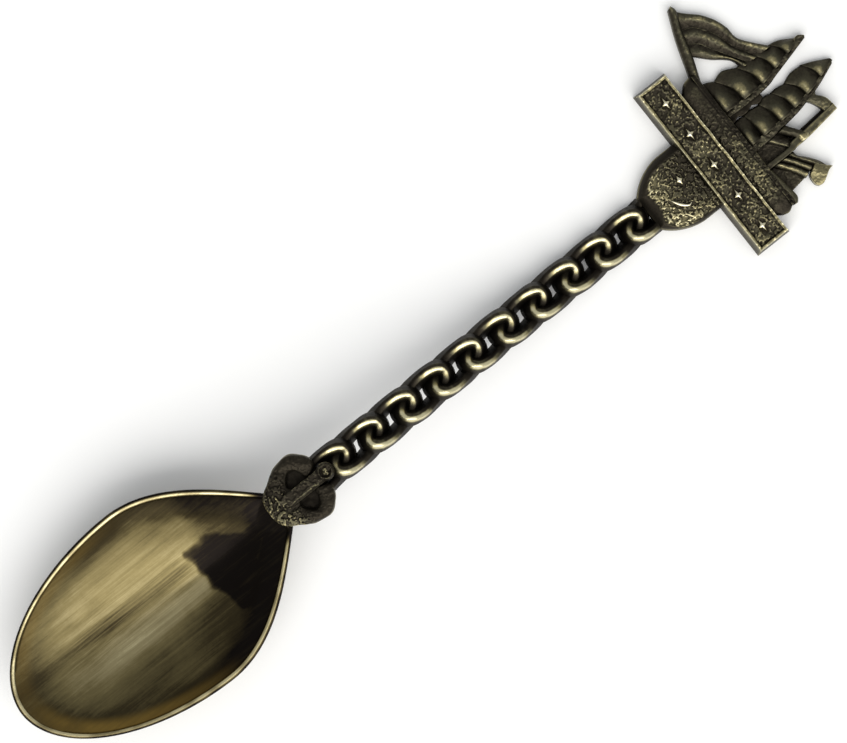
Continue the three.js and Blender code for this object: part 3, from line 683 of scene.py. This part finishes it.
def link_grid(angles, seed):
    """Sections of one link: twisted wire, round on its crest, with steep dark flanks and a wider
    low foot. The bright band along the crest is partly worn brass and partly a painted highlight
    moved toward the lamp's side, dimmed as painted shade where the wire dips under its
    neighbour. Returns the points and their mix of wear and painted light."""
    a = angles[:, None]
    over, under = np.linspace(1, -1, OVER_POINTS), np.linspace(-1, 1, UNDER_POINTS + 2)[1:-1]
    q = np.concatenate([over, under])[None, :]
    flank_out = FLANK_OUT_SIDE + (FLANK_OUT_END - FLANK_OUT_SIDE) * np.cos(a) ** 2
    flank = np.where(q > 0, flank_out, FLANK_IN)
    out = q * flank
    crown = CREST_RISE - 0.5 * out**2 / CREST_RADIUS
    slide = np.clip((np.abs(out) - CREST_SHOULDER) / (flank - CREST_SHOULDER), 0, 1)
    up = crown - (CREST_RISE + 0.1) * np.sqrt(slide) * (0.4 + 0.6 * slide)
    up[:, len(over):] = -BELLY_DROP * np.sqrt(1 - under**2) - 0.25
    x, y = crest_line(a)
    tx = CREST_LEAN * np.cos(a) - CREST_HALF_LENGTH * np.sin(a)
    ty = CREST_HALF_WIDTH * np.cos(a)
    norm = np.hypot(tx, ty)
    wobble = 1 + 0.06 * noise(3 * np.cos(a), 3 * np.sin(a), 1.3, seed)
    x = x + out * wobble * ty / norm
    y = y - out * wobble * tx / norm
    lifted = LINK_TWIST * np.sin(2 * a)
    z = lifted + up * wobble
    # painted highlight: the bright band is moved toward the lamp's side, -X and -Y
    lit_side = -0.28 * np.clip((ty - tx) / norm, -1, 1)
    wear_and_light = ease(0.5, 0.18, np.abs(out - lit_side)) * ease(-0.75, 0.35, lifted)
    wear_and_light[:, len(over):] = 0
    olive = 0.27 * ease(0.9, 0.4, np.abs(out - 0.5 * lit_side))
    olive = olive * ease(-0.2, 0.6, lifted)
    wear_and_light = np.maximum(wear_and_light, olive) + 0.12 * noise(4 * x, 4 * y, 1.5, seed + 50)
    return join(x, y, z), wear_and_light


def build_chain():
    centres, slopes = link_centres()
    first_cut = box("anchor_ground")[1][0] - 0.5
    last_cut = box("medallion")[0][0] + 0.6
    for i in range(LINK_COUNT):
        centre, tilt = centres[i], atan(slopes[i])
        angles = full_turn(LINK_STEPS)
        if i == 0:
            angles = angles - pi
            angles = angles[centre[0] + crest_line(angles)[0] > first_cut]
        if i == LINK_COUNT - 1:
            angles = angles[centre[0] + crest_line(angles)[0] < last_cut]
        grid, wear_and_light = link_grid(angles, 30 + i)
        x, y, z = np.moveaxis(grid, -1, 0)
        up = np.maximum(centre[2] + z * cos(tilt) + x * sin(tilt), TABLE_CLEARANCE)
        x = centre[0] + LINK_SHIFT + x * cos(tilt) - z * sin(tilt)
        rings(f"handle_link_{i + 1:02d}", f"chain_link_{i + 1:02d}", join(x, centre[1] + y, up),
              "chain_brass", closed_ring=0 < i < LINK_COUNT - 1, scale=0.8, lift=-0.45,
              tone=0.95 * wear_and_light)


# ---------------- medallion and its ornaments

MEDALLION_ROUND_INSET = 2.3     # from the name bar to where the round end begins
MEDALLION_ROUND_LENGTH = 6.3
MEDALLION_ROUND_POWER = 1.75    # 2 would be an ellipse


def depth_inside(x, y, line):
    """Distance of each point from a line of points."""
    best = np.full(x.shape, np.inf)
    for a, b in zip(line[:-1], line[1:]):
        run = b - a
        t = np.clip(((x - a[0]) * run[0] + (y - a[1]) * run[1]) / (run @ run), 0, 1)
        best = np.minimum(best, np.hypot(x - a[0] - t * run[0], y - a[1] - t * run[1]))
    return best


def build_medallion():
    low, high = box("medallion")
    half, top = high[1], high[2]
    back_x = high[0] + 0.3
    round_x = high[0] - MEDALLION_ROUND_INSET
    turn = np.linspace(pi / 2, 3 * pi / 2, 151)
    power = 2 / MEDALLION_ROUND_POWER
    arc_x = round_x - MEDALLION_ROUND_LENGTH * np.abs(np.cos(turn)) ** power
    arc_y = half * np.abs(np.sin(turn)) ** power * np.sign(np.sin(turn))
    arc = join(np.maximum(arc_x, low[0]), arc_y)
    flank = np.linspace(back_x, round_x, 26)[:-1]
    rim = np.vstack([join(flank, half), arc, join(flank[::-1], -half)])
    outline = np.vstack([rim, join(back_x, np.linspace(-half, half, 62)[1:-1])])
    shares = np.concatenate([np.linspace(1, 0.76, 20), np.linspace(0.75, 0.01, 74)])
    middle = np.array([back_x, 0.0])
    plan = middle + (outline - middle)[None] * shares[:, None, None]
    x, y = plan[..., 0], plan[..., 1]
    inset = depth_inside(x, y, rim[::3])
    tilt = y / half
    toward_chain = ease(round_x, low[0] + 2, x)
    bevel_width = 0.8 + 0.32 * tilt + toward_chain * (0.95 * (1 - tilt**2) ** 3 - 0.3)
    bevel = np.sin(np.clip(inset / bevel_width, 0, 1) * pi / 2)
    ground = ease(0.85, 1.2, inset / bevel_width)
    grain = stipple(x, y, 0.34, 41)
    z = top - 0.95 + 0.95 * bevel - 0.12 * ground + 0.2 * ground * grain
    grid = np.concatenate([join(*outline.T, 0.0)[None], join(x, y, z)])
    # lighter toward the chain end, and toward -Y as a painted highlight on the side the lamp lights
    worn_and_lit_side = ease(round_x + 1.0, low[0] + 1.6, x) + 0.7 * ease(-1.5, -4.0, y)
    tone = ground * (0.3 * np.minimum(worn_and_lit_side, 1.2) - 0.05) - 0.34 * (1 - ground)
    tone = np.concatenate([np.full((1, len(outline)), -0.3), tone])
    rings("medallion_plate", "medallion", grid, "stippled_brass", scale=0.16, steps=5, tone=tone)


def star(name, node, long_side, short_side, height, waist):
    """A four-pointed star, long across the spoon, low and ridged along its arms."""
    low, high = box(node)
    x0, y0 = (low[:2] + high[:2]) / 2
    tips = [(0, long_side), (-short_side, 0), (0, -long_side), (short_side, 0)]
    dips = [(-waist, waist * 1.5), (-waist, -waist * 1.5), (waist, -waist * 1.5),
            (waist, waist * 1.5)]
    edge = [p for pair in zip(tips, dips) for p in pair]
    levels = [(1.0, low[2] - 0.2), (1.0, low[2] + 0.2)]
    levels += [(1 - f, low[2] + 0.2 + height * f) for f in (0.3, 0.6, 0.9)]
    grid = [[(x0 + x * k, y0 + y * k, z) for x, y in edge] for k, z in levels]
    rings(name, node, np.array(grid), "bright_brass", steps=1, lift=0.4)


def build_ornaments():
    star("medallion_star_cut", "medallion_star", 0.72, 0.42, 0.14, 0.14)
    for i in range(1, BAR_STARS + 1):
        star(f"bar_star_cut_{i}", f"bar_star_{i}", 1.12, 0.6, 0.16, 0.14)
    low, high = box("crescent")
    spine = side((high[0], low[1] + 0.08), (high[0] - 0.55, low[1] - 0.02),
                 (low[0] + 0.72, low[1] + 0.65), (low[0], high[1]))(np.linspace(0, 1, 41))
    along = np.gradient(spine, axis=0)
    along /= np.hypot(*along.T)[:, None]
    normal = join(-along[:, 1], along[:, 0])
    around = full_turn(14)
    rows = []
    for i, t in enumerate(np.linspace(0, 1, 41)):
        swell = sin(pi * t)
        plan = spine[i] + np.outer(np.cos(around), normal[i]) * (0.04 + 0.2 * swell**0.8)
        rise = np.sin(around) * np.where(np.sin(around) > 0, 0.14 + 0.22 * swell**0.5, 0.2)
        rows.append(np.column_stack([plan, low[2] + rise]))
    rings("crescent_moon", "crescent", np.array(rows), "bright_brass", steps=1, lift=0.35)


# ---------------- name bar

BAR_STARS = 5
BAR_DRAFT = 0.35                # how far the side walls lean in
BAR_BORDER = 0.36               # width of the border round the tray
BAR_TRAY_DEPTH = 0.42
# the grid's lines near an edge of the bar, given by their distance from it
BAR_EDGE_LINES = np.array(
    [0, 0.1, 0.2, 0.3, 0.36, 0.44, 0.52, 0.6, 0.68, 0.75, 0.82, 0.9, 0.98])


def build_name_bar():
    low, high = box("name_bar")
    top = high[2]
    span_x, span_y = high[0] - low[0], high[1] - low[1]

    def lines(span):
        inner = np.linspace(1.06, span - 1.06, int((span - 2.1) / 0.085))
        return np.concatenate([BAR_EDGE_LINES, inner, (span - BAR_EDGE_LINES)[::-1]])

    u, v = np.meshgrid(lines(span_x), lines(span_y), indexing="ij")
    x, y = low[0] + u, low[1] + v
    inset = np.minimum(np.minimum(u, span_x - u), np.minimum(v, span_y - v))
    wall = np.clip(inset / BAR_DRAFT, 0, 1) ** 0.8
    middle = BAR_DRAFT + BAR_BORDER / 2
    border = np.exp(-((inset - middle) / (BAR_BORDER * 0.55)) ** 4)
    border = np.where(inset < middle, 1.0, border)
    tray = 1 - border
    halo = np.zeros(x.shape)
    for i in range(1, BAR_STARS + 1):
        star_x, star_y, _ = sum(box(f"bar_star_{i}")) / 2
        around = ((x - star_x) / 0.6) ** 2 + (y - star_y) ** 2
        halo = np.maximum(halo, np.exp(-around**2))
    nicks = 0.05 * noise(x, y, 0.7, 51) + 0.04 * noise(x, y, 0.28, 52)
    ground = 0.17 * stipple(x, y, 0.36, 53) + 0.07 * noise(x, y, 1.1, 54)
    ground = ground * (1 - halo) - 0.06 * halo
    z = wall * (top + nicks * border) - tray * (BAR_TRAY_DEPTH - ground)
    z = np.where(inset <= 0, 0.4, z)
    waver = 0.04 * noise(y, x, 1.6, 55) * ease(0, 0.3, inset)
    points, faces = closed_grid(join(x + waver, y, z), join(x, y, 0.0))
    patches = 0.14 * noise(x, y, 2.2, 56) + 0.06 * ease(4, -12, y)
    tone = tray * (patches + 0.01 - 0.22 * halo) + 0.12 * border - 0.35 * (1 - wall)
    add_piece("name_bar_block", points, faces, "stippled_brass", "name_bar", steps=5,
              scale=0.17, tone=tone)


# ---------------- hull and rails

def build_hull():
    low, high = box("hull")
    foot, deck = low[0] - 0.32, high[0] + 0.05
    bow, stern, top = high[1], low[1], high[2]

    def strakes(x, y, s, t):
        swell = 0.2 * np.sin(pi * t)
        ends = 0.55 * ease(1.8, 0.0, bow - y) + 0.5 * ease(1.6, 0.0, y - stern)
        coarse = 0.04 + 0.15 * ease(8.0, 1.0, y) * ease(-9.6, -7.0, y)
        return top - 0.35 + swell - ends + coarse * stipple(x, y, 0.36, 61)

    def soiled(x, y, s, t):
        patches = 0.1 * noise(x, y, 1.6, 62)
        return patches - 0.1 + 0.16 * ease(8.0, -4.0, y) * ease(-10.0, -7.5, y)

    # The top strip of the hull, just under the gunwale, is darkened as painted shadow.
    relief("hull_side", "hull",
           side((foot, stern + 0.8), (foot + 0.7, stern + 0.15), (foot + 1.4, stern - 0.12),
                (foot + 1.9, stern - 0.02), (deck, stern + 0.3)),
           side((foot, bow - 1.5), (foot + 0.7, bow - 0.8), (foot + 1.3, bow - 0.28), (deck, bow)),
           strakes, "stippled_brass", cell=0.08, edge=0.3, rounded=(1, 1, 0.25, 0), scale=0.24,
           tone=lambda x, y, s, t: soiled(x, y, s, t) - 0.5 * ease(0.88, 0.97, t))

    low, high = box("deck_rail")

    def gunwale(x, y, s, t):
        coarse = 0.04 + 0.14 * ease(8.0, 1.0, y)
        return top - 0.37 + coarse * stipple(x, y, 0.36, 61) - 0.15 * t

    relief("gunwale", "deck_rail", side((low[0] - 0.05, low[1]), (high[0] + 0.1, low[1] + 0.1)),
           side((low[0] - 0.05, high[1] - 0.1), (high[0] + 0.1, high[1] - 0.4)), gunwale,
           "stippled_brass", cell=0.08, edge=0.25, rounded=(1, 1, 0, 0.6),
           scale=0.24, tone=lambda x, y, s, t: soiled(x, y, s, t) - 0.2)

    rail_top = box("stern_rail")[1][2]

    def rolled(x, y, s, t):
        return rail_top - 0.5 + 0.4 * np.sin(pi * s) ** 0.8 + 0.05 * noise(x, y, 0.6, 65)

    relief("stern_gallery", "stern_rail", aloft((-0.45, -5.2), (-0.4, -8.0), (-0.25, -10.4)),
           aloft((0.25, -5.2), (0.4, -6.6), (0.75, -9.2), (0.68, -9.95), (0.3, -10.45)),
           rolled, "rigging_brass", cell=0.08, edge=0.1, scale=0.3, lift=0.06)


# ---------------- square sails and their masts

def aloft(*points):
    """A curve through points given by their height above the deck rail and their Y."""
    deck = box("deck_rail")[1][0] + 0.05
    return side(*[(deck + h, y) for h, y in points])


# each mast: its aft edge from the deck up (height, Y), and its width at the deck and at the top
MASTS = {
    "fore": ([(0, 3.17), (3.0, 3.1), (6.3, 3.25), (8.2, 3.74), (12.0, 4.72), (13.8, 5.2)],
             0.95, 0.62),
    "main": ([(0, -2.28), (2.5, -2.17), (5.1, -1.92), (7.7, -1.58), (11.0, -0.78), (13.0, -0.05),
              (14.5, 0.55)], 1.15, 0.45),
}
# each foot line: height at the mast, height and Y at the outer corner; then, for all but the
# last, how far the sail above it swells out beyond its corners
SAILS = {
    "fore": [(0, 0, 8.65, 0.1), (3.0, 1.5, 7.95, 0.6), (6.0, 4.8, 7.6, 0.15),
             (8.45, 7.35, 7.6, 0.1), (10.8, 9.7, 7.35, 0.3), (12.8, 12.5, 6.15, 0)],
    "main": [(0, 0, 2.2, 0.1), (2.1, 1.8, 2.35, 0.1), (4.9, 4.1, 2.25, 0.3),
             (7.3, 6.2, 2.45, 0.1), (9.6, 8.3, 2.35, 0.25), (12.3, 11.3, 2.9, 0.1),
             (14.5, 14.3, 1.5, 0)],
}


def uneven(x, y, seed, lumps=(0.05, 0.6), pits=(0.05, 0.34)):
    """Unevenness of a casting: soft lumps and fine grain, each given by its height and pitch."""
    return (lumps[0] * noise(x, y, lumps[1], seed)
            + pits[0] * stipple(x, y, pits[1], seed + 1))


def canvas(seed, fullness):
    """Height of a sail that fills beside the mast and falls away to its outer edge and head."""
    def height(x, y, s, t):
        belly = np.exp(-((s - 0.22) / 0.5) ** 2)
        above = np.clip((t - 0.22) / 0.78, 0, 1)
        fill = 0.6 + 0.4 * np.sin(pi / 2 * np.clip(t / 0.22, 0, 1))
        fill = fill * (0.5 + 0.5 * np.cos(pi * above))
        return (1.05 - 0.35 * s + 1.1 * fullness * belly * fill
                + uneven(x, y, seed, (0.04, 0.6), (0.03, 0.34)))
    return height


def canvas_wear_and_light(x, y, s, t):
    """Sails are lighter on the belly beside the mast, partly worn and partly a painted highlight
    where it faces the lamp; darker outward as painted shade and under the next foot as painted
    shadow, with a dark line beside the mast.
    """
    belly = np.exp(-((s - 0.3) / 0.24) ** 2 - ((t - 0.18) / 0.2) ** 2)
    beside_mast = ease(0.1, 0.0, s)
    return (0.4 * belly - 0.06 * ease(0.45, 0.95, s) - 0.16 * ease(0.7, 1.0, t)
            - 0.35 * beside_mast - 0.08)


def build_column(mast):
    """One mast with its stack of sails."""
    aft, foot_width, top_width = MASTS[mast]
    aft_h, aft_y = np.array(aft).T
    top_h = aft_h[-1]

    def luff(h):
        """Y where the sails meet the mast."""
        return np.interp(h, aft_h, aft_y) + foot_width + (top_width - foot_width) * h / top_h

    feet = SAILS[mast]
    for i, (foot, above) in enumerate(zip(feet, feet[1:])):
        low_h, outer_h, outer_y, swell = foot
        high_h, head_h, head_y = above[0] + 0.35, above[1] + 0.3, above[2]
        middle = (low_h + high_h) / 2
        low, outer = (low_h, luff(low_h) - 0.15), (outer_h, outer_y)
        high, peak = (high_h, luff(high_h) - 0.15), (head_h, head_y - 0.12)
        relief(f"{mast}_canvas_{i + 1}", f"{mast}_sail_{i + 1}",
               aloft(low, (middle, luff(middle) - 0.15), high),
               aloft(outer, (0.55 * outer_h + 0.45 * head_h, (outer_y + head_y) / 2 + swell), peak),
               canvas(70 + 7 * i + len(mast), 1 - 0.07 * i), "rigging_brass",
               foot=aloft(low, (0.8 * low_h + 0.2 * outer_h, (low[1] + outer_y) / 2), outer),
               head=aloft(high, (0.8 * high_h + 0.2 * head_h, (high[1] + head_y) / 2), peak),
               cell=0.085, edge=0.28, rounded=(0, 1, 0.5, 0.3), scale=0.42, steps=8,
               tone=canvas_wear_and_light)


def build_masts():
    def grainy(x, y, s, t):
        return 1.3 + uneven(x, y, 90, (0.06, 0.7), (0.1, 0.36))

    def rubbed_low(x, y, s, t):
        return 0.16 * ease(0.55, 0.05, t) - 0.08 - 0.4 * ease(0.25, 0.02, s)

    relief("fore_spar", "foremast", aloft(*MASTS["fore"][0]),
           aloft((0, 4.12), (3.0, 4.0), (6.3, 4.1), (8.2, 4.52), (11.9, 5.4), (12.7, 5.95),
                 (13.3, 6.05)),
           grainy, "rigging_brass", head=aloft((13.8, 5.2), (13.95, 5.55), (13.3, 6.05)),
           cell=0.085, rounded=(1, 0.3, 1, 1), scale=0.3, tone=rubbed_low)
    relief("main_spar", "mainmast", aloft(*MASTS["main"][0]),
           aloft((0, -1.13), (2.5, -1.05), (5.1, -0.95), (7.7, -0.7), (11.0, -0.1),
                 (13.0, 0.5), (14.75, 1.0)),
           grainy, "rigging_brass", cell=0.085, rounded=(1, 0.3, 1, 1), scale=0.3,
           tone=rubbed_low)

    def web(x, y, s, t):
        return 0.7 + 0.06 * noise(x, y, 0.5, 93)

    relief("low_web", "sail_web",
           aloft((0, 2.2), (0.5, 2.3), (1.15, 2.6), (1.8, 2.35), (2.6, 2.35), (3.5, 2.65),
                 (4.2, 2.35), (5.2, 2.4)),
           aloft((0, 3.3), (5.2, 3.3)), web, "rigging_brass", cell=0.09, edge=0.12,
           lift=-0.25)


# ---------------- bowsprit, jib, mizzen, stern

def folded(level, ridge, seed, crest=0.5, sharp=1.3):
    """A fold or spar: it rolls up from its borders to a ridge at share crest between them."""
    def height(x, y, s, t):
        roll = np.where(s < crest, s / crest, (1 - s) / (1 - crest))
        roll = np.sin(np.clip(roll, 0, 1) * pi / 2) ** sharp
        return level + ridge * roll + uneven(x, y, seed)
    return height


def pleat(seed, crest):
    """A fold of the jib: a soft ridge with a broad valley on both sides."""
    def height(x, y, s, t):
        ridge = 0.36 * np.exp(-((s - crest) / 0.34) ** 2)
        return 0.8 + ridge + uneven(x, y, seed, (0.07, 0.7), (0.06, 0.34))
    return height


def plain(level, seed):
    """A low, flat, slightly uneven surface."""
    def height(x, y, s, t):
        return level + uneven(x, y, seed, pits=(0.06, 0.36))
    return height


def strip(name, node, left, right, height, **finish):
    """A spar or a fold of canvas between two edges given aloft."""
    relief(name, node, aloft(*left), aloft(*right), height, "rigging_brass",
           cell=0.085, edge=0.16, scale=0.3, steps=8, **finish)


def ridge_tone(crest, width, dark, bright):
    """Rubbed in patches along the ridge, dark beside it."""
    def tone(x, y, s, t):
        patchy = 1 + 0.5 * noise(x, y, 1.1, 105)
        return bright * patchy * np.exp(-((s - crest) / width) ** 2) - dark
    return tone


def build_bow():
    strip("bowsprit_spar", "bowsprit",
          [(-0.95, 9.7), (-0.5, 10.6), (0.95, 14.9), (2.5, 18.5)],
          [(0.0, 8.4), (1.4, 12.1), (2.35, 15.4), (3.3, 17.7), (3.1, 18.75)],
          folded(1.2, 0.42, 101, 0.6, 1.0), tone=ridge_tone(0.62, 0.2, 0.2, 0.26))
    outer = [(3.3, 17.7), (4.0, 16.9), (5.35, 15.6), (6.45, 13.9), (7.0, 12.3), (7.35, 10.2),
             (9.9, 7.0)]
    first_valley = [(2.1, 15.6), (3.7, 14.9), (4.6, 13.7), (5.5, 12.2), (6.2, 9.9), (7.9, 7.0)]
    second_valley = [(1.6, 13.9), (2.9, 12.9), (3.95, 11.2), (5.1, 9.3), (6.6, 7.0)]
    inner = [(1.1, 12.2), (1.6, 11.85), (2.95, 10.4), (4.3, 9.3), (5.0, 8.5), (5.5, 7.0)]
    strip("jib_canvas_1", "jib_fold_1", outer, first_valley, pleat(110, 0.3),
          rounded=(1, 0, 1, 1), tone=ridge_tone(0.3, 0.22, 0.24, 0.38))
    strip("jib_canvas_2", "jib_fold_2", first_valley, second_valley, pleat(113, 0.42),
          rounded=(0, 0, 1, 1), tone=ridge_tone(0.4, 0.22, 0.24, 0.4))
    strip("jib_canvas_3", "jib_fold_3", second_valley, inner, pleat(116, 0.6),
          rounded=(0, 1, 1, 1), tone=ridge_tone(0.56, 0.27, 0.24, 0.4))


def build_stern():
    # The sunk strip on the post's +Y side is darkened as painted shade, on the side away from the
    # lamp.
    strip("mizzen_post", "mizzenmast",
          [(0, -5.06), (3.8, -5.06), (4.6, -4.95), (6.6, -4.86), (11.5, -4.25)],
          [(0, -4.33), (3.7, -4.3), (4.4, -3.6), (6.6, -3.42), (11.5, -3.05)],
          lambda x, y, s, t: 1.5 - 0.5 * ease(0.68, 0.8, s) * ease(0.35, 0.42, t)
          + 0.06 * noise(x, y, 0.6, 121),
          tone=lambda x, y, s, t: (0.1 - 0.55 * ease(0.6, 0.72, s) * ease(0.35, 0.42, t)
                                - 0.14 * ease(0.4, 0.3, t)))
    strip("gaff_spar", "gaff",
          [(11.5, -4.1), (11.4, -2.75), (11.1, -2.0), (10.5, -1.25), (10.8, -0.8)],
          [(10.0, -3.9), (9.95, -3.1), (9.65, -2.2), (9.25, -1.5), (8.9, -1.1)],
          folded(1.3, 0.15, 124), tone=lambda x, y, s, t: 0.12 * ease(0.7, 0.2, t))
    strip("mizzen_canvas", "mizzen_sail", [(0, -2.0), (2.5, -2.1)], [(0, -4.5), (4.3, -4.5)],
          plain(0.75, 127), lift=-0.2)
    # A bright stripe along the boom's flank toward the lamp and its -Y end are painted highlights.
    strip("lower_boom", "mizzen_boom_lower", [(3.9, -2.0), (4.5, -3.2), (5.3, -4.2), (4.4, -4.95)],
          [(1.95, -2.2), (2.75, -3.3), (3.5, -4.3), (3.6, -4.95)],
          folded(0.85, 0.3, 130, 0.75), tone=lambda x, y, s, t: 0.5 * ease(0.72, 0.9, t)
          + 0.3 * np.exp(-((s - 0.8) / 0.12) ** 2) - 0.2)
    # The boom's -Y end is lightened as a painted highlight.
    strip("upper_boom", "mizzen_boom_upper",
          [(5.05, -1.9), (5.6, -2.7), (6.35, -3.7), (6.9, -4.4), (6.6, -4.85)],
          [(3.75, -2.1), (4.4, -2.9), (5.2, -4.0), (5.3, -4.85)],
          folded(1.45, 0.32, 133, 0.55),
          tone=lambda x, y, s, t: 0.4 * ease(0.6, 0.85, t) - 0.1)
    folds = [
        ([(3.9, -5.1), (4.03, -5.85), (4.75, -6.64), (5.7, -7.95), (6.2, -9.2)],
         [(2.9, -5.1), (3.9, -6.6), (4.8, -8.1)], folded(1.0, 0.36, 136)),
        ([(2.95, -5.1), (3.95, -6.5), (4.85, -8.0)],
         [(1.85, -5.1), (3.05, -6.75), (3.95, -8.35)], folded(0.95, 0.34, 139)),
        ([(1.9, -5.1), (3.1, -6.7), (4.0, -8.3)],
         [(0.7, -5.1), (2.1, -7.0), (3.1, -8.7)], folded(0.9, 0.32, 142)),
    ]
    for i, (upper, lower, height) in enumerate(folds, start=1):
        strip(f"furled_fold_{i}", f"stern_fold_{i}", upper, lower, height,
              tone=ridge_tone(0.6, 0.3, 0.08, 0.2))
    strip("stern_canvas", "stern_sail", [(0.75, -5.1), (2.15, -6.9), (3.15, -8.6)],
          [(0.1, -5.1), (0.3, -7.0), (0.6, -8.95)], plain(0.7, 145), lift=-0.12)
    relief("ensign_flare", "ensign", aloft((5.1, -7.9), (5.95, -8.9), (6.65, -9.55)),
           aloft((4.1, -8.4), (3.55, -8.9), (3.5, -10.0), (3.8, -10.5)),
           folded(1.4, 0.22, 151), "rigging_brass",
           head=aloft((6.65, -9.55), (5.95, -9.68), (4.5, -10.5), (3.8, -10.5)),
           cell=0.07, edge=0.14, scale=0.4, lift=0.22)


# ---------------- floor, light, camera

FLOOR_SIZE = 4.0                       # metres, as are the lamp's size and place
FLOOR_TINT = (0.97, 0.97, 0.97, 1)
SKY_TINT, SKY_STRENGTH = (0.97, 0.99, 1.0, 1), 0.56
LAMP_TINT, LAMP_WATTS = (1.0, 0.98, 0.94), 12.5
LAMP_SIZE, LAMP_PLACE = (1.7, 0.96), (-0.26, -0.58, 0.72)
SPOON_MIDDLE = Vector((0.043, 0.0, 0.0))


def build_stage():
    bpy.ops.mesh.primitive_plane_add(size=FLOOR_SIZE, location=(0.04, 0.0, 0.0))
    floor = bpy.context.object
    floor.name = "floor"
    material = bpy.data.materials.new("floor_paper")
    material.use_nodes = True
    shader = material.node_tree.nodes["Principled BSDF"]
    shader.inputs["Base Color"].default_value = FLOOR_TINT
    shader.inputs["Roughness"].default_value = 0.9
    floor.data.materials.append(material)

    world = bpy.data.worlds.new("studio")
    bpy.context.scene.world = world
    world.use_nodes = True
    sky = world.node_tree.nodes["Background"].inputs
    sky["Color"].default_value, sky["Strength"].default_value = SKY_TINT, SKY_STRENGTH

    lamp = bpy.data.lights.new("softbox", "AREA")
    lamp.shape = "RECTANGLE"
    lamp.size, lamp.size_y = LAMP_SIZE
    lamp.color, lamp.energy = LAMP_TINT, LAMP_WATTS
    holder = put("softbox", lamp)
    holder.location = LAMP_PLACE
    aim = SPOON_MIDDLE - holder.location
    holder.rotation_euler = aim.to_track_quat("-Z", "Y").to_euler()


HANDLE_BEARING = radians(38.42)   # the handle rises this much across the picture
CAMERA_X, CAMERA_Y = 43.0, 2.1         # the camera stands over this point
CAMERA_HEIGHT = 353.0
PICTURE_WIDTH = 105.6                  # mm across the picture at the level of the spoon
SPOON_LEVEL = 3.0


def build_camera():
    data = bpy.data.cameras.new("camera")
    data.sensor_width = 36.0
    data.lens = 36.0 * (CAMERA_HEIGHT - SPOON_LEVEL) / PICTURE_WIDTH
    data.clip_start = 0.01
    camera = put("camera", data)
    camera.location = (CAMERA_X * MM, CAMERA_Y * MM, CAMERA_HEIGHT * MM)
    camera.rotation_euler = (0, 0, -HANDLE_BEARING)
    bpy.context.scene.camera = camera


build_camera()
build_bowl()
build_anchor()
build_chain()
build_medallion()
build_name_bar()
build_ornaments()
build_hull()
build_column("fore")
build_column("main")
build_masts()
build_bow()
build_stern()
build_stage()
bpy.context.scene.view_settings.view_transform = "Standard"
